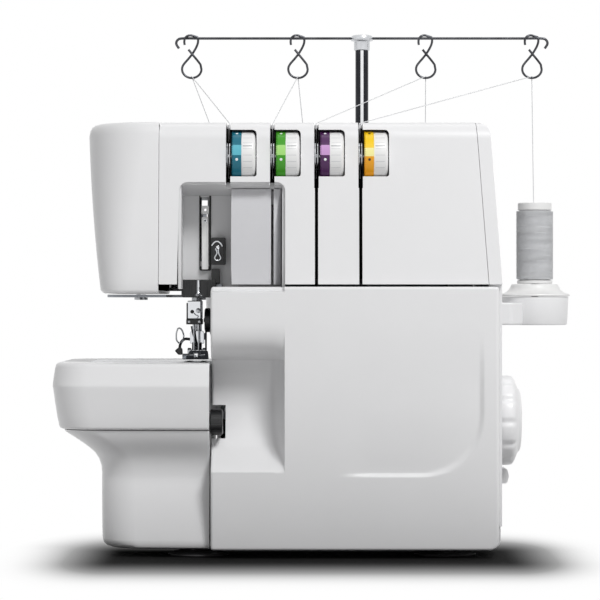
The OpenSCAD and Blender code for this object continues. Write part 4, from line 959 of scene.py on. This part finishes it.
def makeTakeUpLever():
    back = needleArea["backWall"]
    outline = [(-82.3, 194.4, 0.8), (-77.7, 194.4, 0.8), (-77.7, 230.4, 0.9), (-82.3, 230.4, 0.9)]
    strip = slab("strip", roundedLoop(outline), back - 3.9, back - 2.2, "y", whiteAcetal)
    eye = slab("eye", boxLoop(-82.4, -77.3, 232.2, 238.0, 0.7), back - 4.2, back - 2.2, "y", whiteAcetal)
    neck = slab("neck", boxLoop(-81.4, -78.8, 229.8, 232.8), back - 2.9, back - 2.3, "y", castAlloy)
    cutWith(strip, [bore(0.75, -9, 9, (-79.9, back - 3, 227.7), "y")])
    cutWith(eye, [bore(0.9, -9, 9, (-79.8, back - 3, 235.2), "y")])
    rim = lathe("rim", [(0.75, 0), (1.15, 0), (1.3, 0.25), (1.15, 0.45), (0.75, 0.45)],
                (-79.9, back - 4.3, 227.7), "y", chromePlate, 24, closed=True)
    ridge = [slab("ridge", boxLoop(x, x + 0.5, 196, 225, 0.2), back - 4.3, back - 3.8, "y", whiteAcetal)
             for x in (-81.9, -78.6)]
    arm = slab("arm", boxLoop(-82, -79, 224.3, 227.8, 0.8), back - 2.4, -63.5, "y", castAlloy)
    boss = lathe("boss", [(0.01, 0), (2.6, 0), (3, 0.4), (3, 2.6), (2.6, 3), (0.01, 3)], (-82, -63.5, 226),
                 "x", castAlloy, 32)
    for part in (strip, eye):
        softenEdges(part, 0.25, 32, 2)
    parts = [strip, eye, neck, arm, boss, rim] + ridge
    assemble("takeUpLever", parts, "take_up", "white_shell", "take_up_lever")


def makeNeedleClamp():
    x, y = needleArea["x"], needleArea["y"]
    body = slab("body", boxLoop(x - 5.9, x + 4.4, y - 5.9, y + 5.9, 1.6, 6), 160.4, 173, "z", chromePlate)
    band = slab("band", boxLoop(x - 6.8, x + 4.6, y - 6.8, y + 6.8, 1.2, 6), 156.6, 160.4, "z", blackNylon)
    side = slab("side", boxLoop(x - 6.6, x - 5.6, y - 5, y + 5), 159.5, 171.5, "z", blackNylon)
    for part, width in ((body, 0.6), (band, 0.5), (side, 0.2)):
        softenEdges(part, width, 32, 3)
    screws = [screwHead("screw", x + across, y - out, z, radius, finish)
              for across, out, z, radius, finish in
              ((-2.6, 7.4, 165.4, 1.3, blackNylon), (1.6, 7.5, 166.2, 1.7, groundSteel),
               (-4.6, 7.7, 158.5, 1.0, groundSteel), (2.4, 7.7, 158.5, 1.0, groundSteel))]
    bend = [(x - 1.2, y - 7.2, 164.4), (x - 0.2, y - 8.2, 163.2), (x + 1.6, y - 8.3, 162.4),
            (x + 0.6, y - 7.6, 160.8), (x - 1.4, y - 7.6, 160.6)]
    guard = tube("guard", smoothPath(bend, 5), 0.32, groundSteel, 8)
    assemble("needleClamp", [body, band, side, guard] + screws, "needle_bar", "bright_steel", "needle_clamp")
    needles = []
    profile = [(0.01, 0), (0.14, 0.5), (0.34, 2.2), (0.46, 4), (0.47, 17.6), (0.62, 18.4), (0.98, 19.6),
               (1.0, 20.4), (1.0, 33), (0.01, 33.2)]
    for offset in (-1.6, 1.6):
        middle = x + offset
        shaft = lathe("needle", profile, (middle, y, 134), "z", groundSteel, 20)
        eye = hole(boxLoop(middle - 0.22, middle + 0.22, 137.4, 139, 0.2, 4), y - 3, y + 3, "y")
        needles.append(cutWith(shaft, [eye]))
    assemble("needlePair", needles, "needle_bar", "bright_steel", "needles")


def makePresserFoot():
    x, y, low = needleArea["x"], needleArea["y"], needleArea["footZ"]
    sole = [(y - 17.2, low + 3.4, 0), (y - 14, low, 2), (y + 27, low, 2), (y + 28, low + 2.8, 0.6),
            (y + 20, low + 3.0, 1), (y - 13, low + 2.6, 2), (y - 16.4, low + 4.2, 0)]
    foot = slab("foot", roundedLoop(sole, 5), x - 9, x + 8.4, "x", chromePlate)
    relief = [(x + 5.6, y - 30, 0), (x + 12, y - 30, 0), (x + 12, y - 6, 0), (x + 7.4, y - 8, 2)]
    openings = [boxLoop(x - 5, x + 4, y - 5, y + 5, 1.2), boxLoop(x - 1, x + 1.6, y - 30, y - 4.6),
                roundedLoop(relief)]
    cutWith(foot, [hole(opening, low - 9, low + 9, "z") for opening in openings])
    softenEdges(foot, 0.3, 32, 2)
    parts = [foot]
    outline = roundedLoop([(-39.4, low + 1.6, 0), (-32.6, low + 1.6, 0), (-33.8, low + 7.6, 2.2),
                           (-38.2, low + 7.6, 2.2)], 5)
    for side in (x - 6.4, x + 4):    # posts that hold the cross pin
        post = slab("post", outline, side, side + 2.4, "x", groundSteel)
        cutWith(post, [bore(1.25, -9, 9, (side, -36, low + 5.5), "x")])
        parts.append(softenEdges(post, 0.25, 32, 2))
    # dark toe plate with a window
    outline = [(x - 6.7, low + 0.2, 0.4), (x + 9.2, low + 0.2, 0.4), (x + 8.6, low + 6.2, 1),
               (x - 3.9, low + 6.2, 1)]
    shield = slab("shield", roundedLoop(outline), -63.4, -62, "y", darkSteel)
    cutWith(shield, [hole(boxLoop(x - 1.8, x + 4.2, low + 1.5, low + 4.6, 0.6), -70, -55, "y")])
    parts.append(softenEdges(shield, 0.2, 32, 2))
    assemble("presserFoot", parts, "presser_foot", "bright_steel", "presser_foot")
    outline = [(x - 5, 143, 0.8), (x + 5, 143, 0.8), (x + 5, 152, 2), (x - 5, 152, 2)]
    ankle = slab("ankle", roundedLoop(outline), -34, -22, "y", chromePlate)
    outline = [(-39, low + 3.5, 1.8), (-26, low + 3.5, 1.8), (-26, 144, 0), (-35, 144, 2.5)]
    leg = slab("leg", roundedLoop(outline), x - 3.5, x + 3.5, "x", chromePlate)
    pin = lathe("pin", [(0.01, 0), (1.0, 0), (1.2, 0.3), (1.2, 12.9), (1.0, 13.2), (0.01, 13.2)],
                (x - 6.6, -36, low + 5.5), "x", chromePlate, 24)
    grip = lathe("grip", [(0.01, 0), (2.4, 0), (2.4, 1.2), (2.1, 1.6), (0.01, 1.6)], (x + 5, -28, 148), "x",
                 blackNylon, 28)
    bend = [(x - 4.6, -30, 146), (x - 8.6, -34, 146.2), (x - 10.8, -40, 144), (x - 11.6, -43, 140.6),
            (x - 10.4, -43.5, 138.6)]
    lever = tube("lever", smoothPath(bend, 5), 1.0, blackNylon, 12)
    bend = [(x - 9.2, -41, 146), (x - 9.0, -43, 149.4), (x - 10.6, -44, 153.2), (x - 12.8, -44, 153.6),
            (x - 14.0, -44, 150), (x - 13.8, -43.6, 145.6), (x - 12.0, -43, 143.6), (x - 10, -42.4, 144.6),
            (x - 9.3, -41.6, 146.4)]
    eye = tube("eye", smoothPath(bend, 5), 0.55, groundSteel, 10)
    bend = [(x - 2.6, -38, 155.4), (x - 2.2, -38, 151), (x - 1.2, -37.6, 146.6), (x + 0.2, -36.6, 142.4)]
    finger = tube("finger", smoothPath(bend, 5), lambda t: 1.7 - 1.2 * t, darkSteel, 16)
    spindle = tube("spindle", [Vector((x + 6.4, -38, z)) for z in (153, 148, 143, 138.4)], 0.65,
                   darkSteel, 14)
    outline = [(x - 15.2, 138.2, 0.8), (x - 12.6, 135.4, 1.2), (x - 9.6, 135.4, 1), (x - 9.6, 138.6, 1),
               (x - 12, 141, 1)]
    toe = slab("toe", roundedLoop(outline), -44.6, -42.6, "y", blackNylon)
    for part in (ankle, leg, toe):
        softenEdges(part, 0.35, 32, 2)
    assemble("presserAnkle", (ankle, leg, pin, grip, lever, eye, finger, spindle, toe), "presser_bar",
             "bright_steel", "presser_ankle")


makeNeedleSurround()
makeTakeUpLever()
makeNeedleClamp()
makePresserFoot()
print("needle area ready")


# knobs, feet and hand wheel

knobs = {"ribs": 36, "feet": [(-84, -80), (84, -80), (-84, 30), (84, 30)], "sideDials": (121, 10)}
wheel = {"centre": (124, -22, 89), "sides": 180, "grips": 12, "gripDepth": 1.25, "gripsFrom": 28.5}


def makeKnob(name, low, high, y, z, radius, depth):    # ribbed nylon knob on a stem across the machine
    edge, face = radius - 0.35, radius - 1.6
    profile = [(0.01, low), (face, low), (radius - 0.7, low + 0.25), (edge, low + 0.7), (edge, high - 0.7),
               (radius - 0.7, high - 0.25), (face, high), (radius - 2.4, high), (radius - 2.7, high - 0.35),
               (0.01, high - 0.35)]
    disc = lathe("disc", profile, (0, y, z), "x", blackNylon, 96)
    ribs = aroundDial("ribs", knobs["ribs"], radius - 0.4, 0, 360, ((low + high) / 2, y, z),
                      (high - low - 1.3, 0.75, 0.72), blackNylon)
    stem = lathe("stem", [(0.01, low - depth), (1.4, low - depth), (1.4, low + 1), (0.01, low + 1)],
                 (0, y, z), "x", blackNylon, 24)
    return joinPieces(name, [disc, ribs, stem])


def makeFeet():
    profile = [(3.2, 2.5), (3.2, 0.5), (5, 0), (19.6, 0), (20.6, 0.3), (21, 0.9), (20.7, 1.5), (18.2, 2.3),
               (14.6, 3.1), (12.7, 3.9), (12.2, 4.6), (12.6, 5.3), (3.2, 5.3)]
    feet = [lathe("foot", profile, (x, y, 0), "z", footRubber, 72, closed=True) for x, y in knobs["feet"]]
    assemble("rubberFeet", feet, "root", "rubber_black", "rubber_feet")


def makeHandwheel():    # rounded rim with twelve finger grips
    x, y, z = wheel["centre"]
    rings = []
    profile = [(29.0, 0.0), (30.4, 0.6), (31.2, 2.0), (31.5, 4.2), (31.4, 8.0), (30.9, 9.6), (29.4, 10.8),
               (27.0, 11.9), (24.4, 12.9), (22.6, 13.7), (21.8, 14.6), (20.6, 15.3), (18, 15.7), (10, 15.95),
               (9.4, 15.6), (9.0, 14.9), (5.6, 14.9), (5.3, 15.3), (5.05, 15.3), (5.05, -7.8), (7.8, -7.8),
               (8, -7.5), (8, -0.4), (9, 0)]
    for radius, along in profile:
        ring = []
        for k in range(wheel["sides"]):
            angle = 2 * math.pi * k / wheel["sides"]
            dip = max(0, math.cos(angle * wheel["grips"])) ** 3 * wheel["gripDepth"]
            reach = radius - (dip if radius > wheel["gripsFrom"] else 0)
            ring.append((x + along, y + reach * math.cos(angle), z + reach * math.sin(angle)))
        rings.append(ring)
    rim = loftPiece("handwheel", rings, shellAbs, 35, closed=True)
    settle(rim, "main_shaft", "white_shell", "handwheel")


def makeSideDial(name, z, node):
    x, y = knobs["sideDials"]
    profile = [(0.01, 0.5), (10.4, 0.5), (10.8, 0.8), (10.8, 3.0), (10.3, 3.7), (9.2, 4.0), (8.6, 4.0),
               (8.3, 3.7), (0.01, 3.7)]
    disc = lathe("disc", profile, (x, y, z), "x", satinAbs, 96)
    ribs = aroundDial("ribs", 48, 10.75, 0, 360, (x + 1.9, y, z), (2.3, 0.5, 0.6), satinAbs)
    stem = lathe("stem", [(0.01, -8), (4, -8), (4, 0.6), (0.01, 0.6)], (x, y, z), "x", satinAbs, 40)
    marks = aroundDial("marks", 4, 6.6, 60, 300, (x + 3.72, y, z), (0.12, 1.9, 0.5), printInk)
    assemble(name, [disc, ribs, stem, marks], node, "grey_plastic", node)


settle(makeKnob("cuttingWidthKnob", -75.7, -67, -97, 91, 8.8, 7), "cutting_width_knob", "black_plastic",
       "cutting_width_knob")
settle(makeKnob("knifeKnob", -81.2, -76.9, -47, 159.5, 8.4, 0.6), "upper_knife", "black_plastic",
       "knife_knob")
makeSideDial("stitchLengthDial", 150, "stitch_length_dial")
makeSideDial("differentialDial", 124, "differential_dial")
makeFeet()
makeHandwheel()
print("knobs, feet and hand wheel ready")


# spools, mast and thread guides

spools = {"x": (-60, -7, 78.5, 159.5), "y": 86, "base": 185.6, "height": 60, "yarn": 13.6, "pitch": 0.8,
          "strand": 0.44, "mast": 31, "bar": 368, "hooks": (-97.5 + 2, -16.5, 78.5, 159.5 - 2), "eye": 339.75}


def makeWindingTree():    # thread wound round a core: a long helix given the thickness of the strand
    sockets = [("Turns", "Float", 60.0), ("Radius", "Float", 0.013), ("Height", "Float", 0.05),
               ("Strand", "Float", 0.0004), ("Centre", "Vector", (0, 0, 0)), ("Finish", "Material", None)]
    tree, given, end = geometryTree("thread wound on a core", sockets)
    helix = addNode(tree, "GeometryNodeCurveSpiral", {"Resolution": 26, "Rotations": given["Turns"],
                    "Start Radius": given["Radius"], "End Radius": given["Radius"],
                    "Height": given["Height"]})
    ring = addNode(tree, "GeometryNodeCurvePrimitiveCircle", {"Resolution": 5, "Radius": given["Strand"]})
    strand = addNode(tree, "GeometryNodeCurveToMesh", {"Curve": helix, "Profile Curve": ring,
                     "Fill Caps": True})
    place = addNode(tree, "GeometryNodeTransform", {"Geometry": strand, "Translation": given["Centre"]})
    return closeTree(tree, place, given, end)


def makeSpools():
    tree = makeWindingTree()
    y, base, height, yarn = spools["y"], spools["base"], spools["height"], spools["yarn"]
    core = [(3.0, 0), (12.7, 0), (13.1, 0.3), (13.1, 2.0), (12.7, 2.4), (11.2, 2.7), (11.2, height - 5.6),
            (12.2, height - 5.4), (12.5, height - 5.0), (12.5, height - 0.5), (12.1, height), (9.4, height),
            (9.0, height - 0.4), (9, height - 3), (3.0, height - 3)]
    soft = [(11.0, 3.0), (yarn - 0.9, 3.1), (yarn - 0.35, 3.8), (yarn - 0.3, height - 6.9),
            (yarn - 0.8, height - 6.1), (11.0, height - 5.8)]
    length = height - 10.0
    for i, x in enumerate(spools["x"]):
        parts = [lathe("core", core, (x, y, base), "z", whiteAcetal, 72, closed=True),
                 lathe("fill", soft, (x, y, base), "z", threadYarn, 72, closed=True)]
        values = {"Turns": length / spools["pitch"], "Radius": (yarn - 0.28) * mm, "Height": length * mm,
                  "Strand": spools["strand"] * mm, "Centre": (x * mm, y * mm, (base + 3.6) * mm),
                  "Finish": threadYarn}
        parts.append(growPiece("wound", tree, values, threadYarn))
        values |= {"Turns": 9.0 + i, "Radius": (yarn - 0.18) * mm, "Strand": 0.34 * mm}
        parts.append(growPiece("crossed", tree, values, threadYarn))
        assemble(f"spool{i + 1}", parts, f"spool_{i + 1}", "thread_grey", f"spool_{i + 1}")


def makeSpoolStand():
    y = spools["y"]
    # parted at the mast, which slides between them
    rods = [lathe("rod", [(0.01, 0), (7.2, 0), (7.6, 0.5), (7.6, length), (0.01, length)], (0, y, 164), "x",
                  shellAbs, 48) for length in (73, 111)]
    rods[0].data.transform(Matrix.Translation((-50 * mm, 0, 0)))
    rods[1].data.transform(Matrix.Rotation(math.pi, 4, "Z") @ Matrix.Translation((0, -2 * y * mm, 0)))
    rods[1].data.transform(Matrix.Translation((150 * mm, 0, 0)))
    arms = []
    for x in (0, 62):
        arm = slab("arm", boxLoop(x - 8, x + 8, 151, 175, 3), 56.1, y, "y", shellAbs)
        arms.append(softenEdges(arm, 0.8, 32, 3))
    arm = slab("arm", roundedLoop([(106, 52, 3), (140, 52, 6), (148.6, 62, 4), (148.6, 78, 4), (118, 78, 6),
                                   (106, 62, 3)]), 155.2, 171.6, "z", shellAbs)
    cutWith(arm, [hole(boxLoop(100, 122, 0, 56.2), 150, 180, "z")])
    arms.append(softenEdges(arm, 1.4, 32, 4))
    post = lathe("post", [(6.55, 148), (10.4, 148), (11, 148.6), (11, 180.6), (10.2, 181.8), (9.4, 182),
                          (6.55, 182)], (spools["mast"], y, 0), "z", shellAbs, 56, closed=True)
    profile = [(0.01, 155), (22.9, 155), (23.6, 155.4), (24.0, 156.2), (25, 175.2), (24.8, 175.8),
               (24.3, 176), (22.9, 176), (22.5, 175.6), (21.8, 158.6), (21.2, 158.1), (9.2, 158.1),
               (8.8, 158.5), (8.6, 172.6), (8.1, 173), (2.7, 173), (2.7, 160), (0.01, 160)]
    cups = [lathe("cup", profile, (x, y, 0), "z", shellAbs, 96) for x in spools["x"]]
    assemble("spoolStand", rods + [post] + arms + cups, "root", "white_shell", "spool_stand")
    discs, pins = [], []
    disc = [(2.8, 176.3), (25.4, 176.3), (26, 176.6), (26.1, 177.1), (25.8, 177.7), (25, 178.1),
            (23.2, 178.6), (21, 179.6), (19.2, 181.2), (18, 183.2), (17.4, 184.7), (16.8, 185.2),
            (2.8, 185.2)]
    pin = [(0.01, 160.1), (2.6, 160.1), (2.6, 235.5), (2.3, 238.6), (1.5, 239.8), (0.01, 240)]
    for x in spools["x"]:
        discs.append(lathe("disc", disc, (x, y, 0), "z", whiteAcetal, 96, closed=True))
        pins.append(lathe("pin", pin, (x, y, 0), "z", whiteAcetal, 32))
    assemble("spoolDiscs", discs, "root", "white_shell", "spool_felts")
    assemble("spoolPins", pins, "root", "white_shell", "spool_pins")


def hookPath(x, z):    # a figure of eight hung over the bar
    y = spools["y"]
    path = [Vector((x - 5.2, y - 1.6, z - 5))]
    path += cubic((x - 5.2, y - 1.6, z - 5), (x - 6.5, y - 1.6, z + 1), (x - 3, y - 1.2, z + 2.6),
                  (x, y, z + 2.2), 10)
    path += cubic((x + 4, y, z + 1.8), (x + 5.6, y, z - 2), (x + 4.8, y, z - 5), (x, y + 1.2, z - 12), 12)
    path += cubic((x - 1.2, y + 1.2, z - 13.6), (x - 5, y + 1, z - 18), (x - 7.4, y, z - 20),
                  (x - 7.2, y, z - 23), 8)
    path += [Vector((x + 7.2 * math.cos(a), y, z - 23 + 6.4 * math.sin(a)))
             for a in [math.pi + math.pi * k / 20 for k in range(1, 21)]]
    path += cubic((x + 7.2, y, z - 20.5), (x + 5, y - 1, z - 17), (x + 2, y - 1.2, z - 14),
                  (x - 2.4, y - 1.4, z - 8.4), 10)
    return path


def makeMast():
    x, y, bar = spools["mast"], spools["y"], spools["bar"]
    # the tubes' dark base colour is a painted dark reflection
    outer = lathe("outer", [(4.9, 152.2), (6.4, 152.2), (6.5, 152.4), (6.5, 287.4), (6.3, 287.9),
                            (5.1, 287.9), (4.9, 287.6)], (x, y, 0), "z", darkReflectionChrome, 64, closed=True)
    settle(outer, "root", "chrome", "mast_outer_tube")
    inner = lathe("inner", [(3.8, 236), (4.75, 236), (4.85, 236.3), (4.85, bar - 4.2), (3.8, bar - 4.2)],
                  (x, y, 0), "z", darkReflectionChrome, 64, closed=True)
    # bright strips down the front and back of the inner tube: a painted reflection
    reflectionStrips = [slab("strip", boxLoop(x - 1.1, x + 1.1, y + side * 4.75 - 0.2, y + side * 4.75 + 0.2, 0.15),
                   237, bar - 9.2, "z", reflectionStrip) for side in (-1, 1)]
    assemble("mastInner", [inner] + reflectionStrips, "mast", "chrome", "mast_inner_tube")
    profile = [(4.88, bar - 9), (5.6, bar - 9), (5.9, bar - 8.6), (5.9, bar - 2.6), (6.3, bar - 2.1),
               (7.9, bar - 1.9), (8.2, bar - 1.4), (8.15, bar + 0.6), (7.6, bar + 1.7), (6.4, bar + 2.2),
               (0.01, bar + 2.3), (0.01, bar - 3.9), (4.88, bar - 3.9)]
    cap = lathe("cap", profile, (x, y, 0), "z", capChrome, 64)
    reach = 136
    points = [(x - reach, y, bar - 7.5), (x - reach - 2, y, bar - 4), (x - reach - 1, y, bar - 1.2),
              (x - reach + 2.5, y, bar), (x - 120, y, bar)]
    path = smoothPath(points, 6)[:-1] + [Vector((x + 12 * i, y, bar)) for i in range(-10, 11)]
    path += smoothPath([(2 * x - p[0], p[1], p[2]) for p in points[::-1]], 6)[1:]
    wire = tube("wire", path, 0.95, nickelWire, 16)
    parts = [cap, wire] + [tube("hook", hookPath(hook, bar), 0.85, nickelWire, 14)
                           for hook in spools["hooks"]]
    assemble("threadGuideBar", parts, "mast", "guide_wire", "thread_guide_bar")


def makeThreads():    # each runs from its spool over its hook and down into its slot
    y, eye = spools["y"], spools["eye"]
    for i, x in enumerate(spools["x"]):
        hook = spools["hooks"][i]
        path = [Vector((x, y + 9, spools["base"] + spools["height"] + 0.6))]
        path += [path[0].lerp(Vector((hook, y + 1.3, eye)), t) for t in [k / 10 for k in range(1, 10)]]
        path += [Vector((hook, y + 1.3, eye - 0.05)), Vector((hook, y, eye + 0.05)),
                 Vector((hook, y - 1.3, eye - 0.05))]
        path += [Vector((hook, y - 1.3, eye)).lerp(Vector((slots[i], -60, 295.2)), t)
                 for t in [k / 10 for k in range(1, 10)]]
        path += smoothPath([(slots[i], -60, 295.2), (slots[i], -76, 288.5), (slots[i], dialY + 4, 262),
                            (slots[i], dialY + 2, 256)], 5)
        thread = tube(f"thread{i + 1}", path, 0.3, loopThread, 8)
        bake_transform(thread)
        if i == 0:
            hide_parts("threads")


makeSpools()
makeSpoolStand()
makeMast()
makeThreads()
print("spools, mast and threads ready")


# finishes of the pieces kept from the frame

kept = {shellAbs: ["power_switch"],
        satinAbs: ["base_tray", "needle_recess", "free_arm_cover", "presser_lifter", "pressure_screw"],
        # the guide cover's grey is partly its tint and partly painted shade
        panelGreyAndShade: ["thread_guide_cover"],
        blackNylon: ["power_inlet", "drive_pulley", "feed_dogs"],
        # the thread channels are near black as painted shade behind the slots and dial windows
        slotBlackAndShade: ["thread_channels"],
        castAlloy: ["main_frame", "head_bottom_plate", "motor_pulley"],
        groundSteel: ["needle_plate", "casing_screws", "cover_hinge_rod", "tension_posts", "main_shaft",
                      "needle_bar", "presser_bar", "knife_arm", "lower_looper", "upper_looper"],
        oiledBronze: ["bushes"], motorPaint: ["motor"], beltRubber: ["drive_belt"]}


def dressKept():    # a frame node keeps its shape and gets its finish
    for material, names in kept.items():
        for name in names:
            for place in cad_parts[name].material_slots:
                place.material = material


dressKept()
print("frame pieces finished")
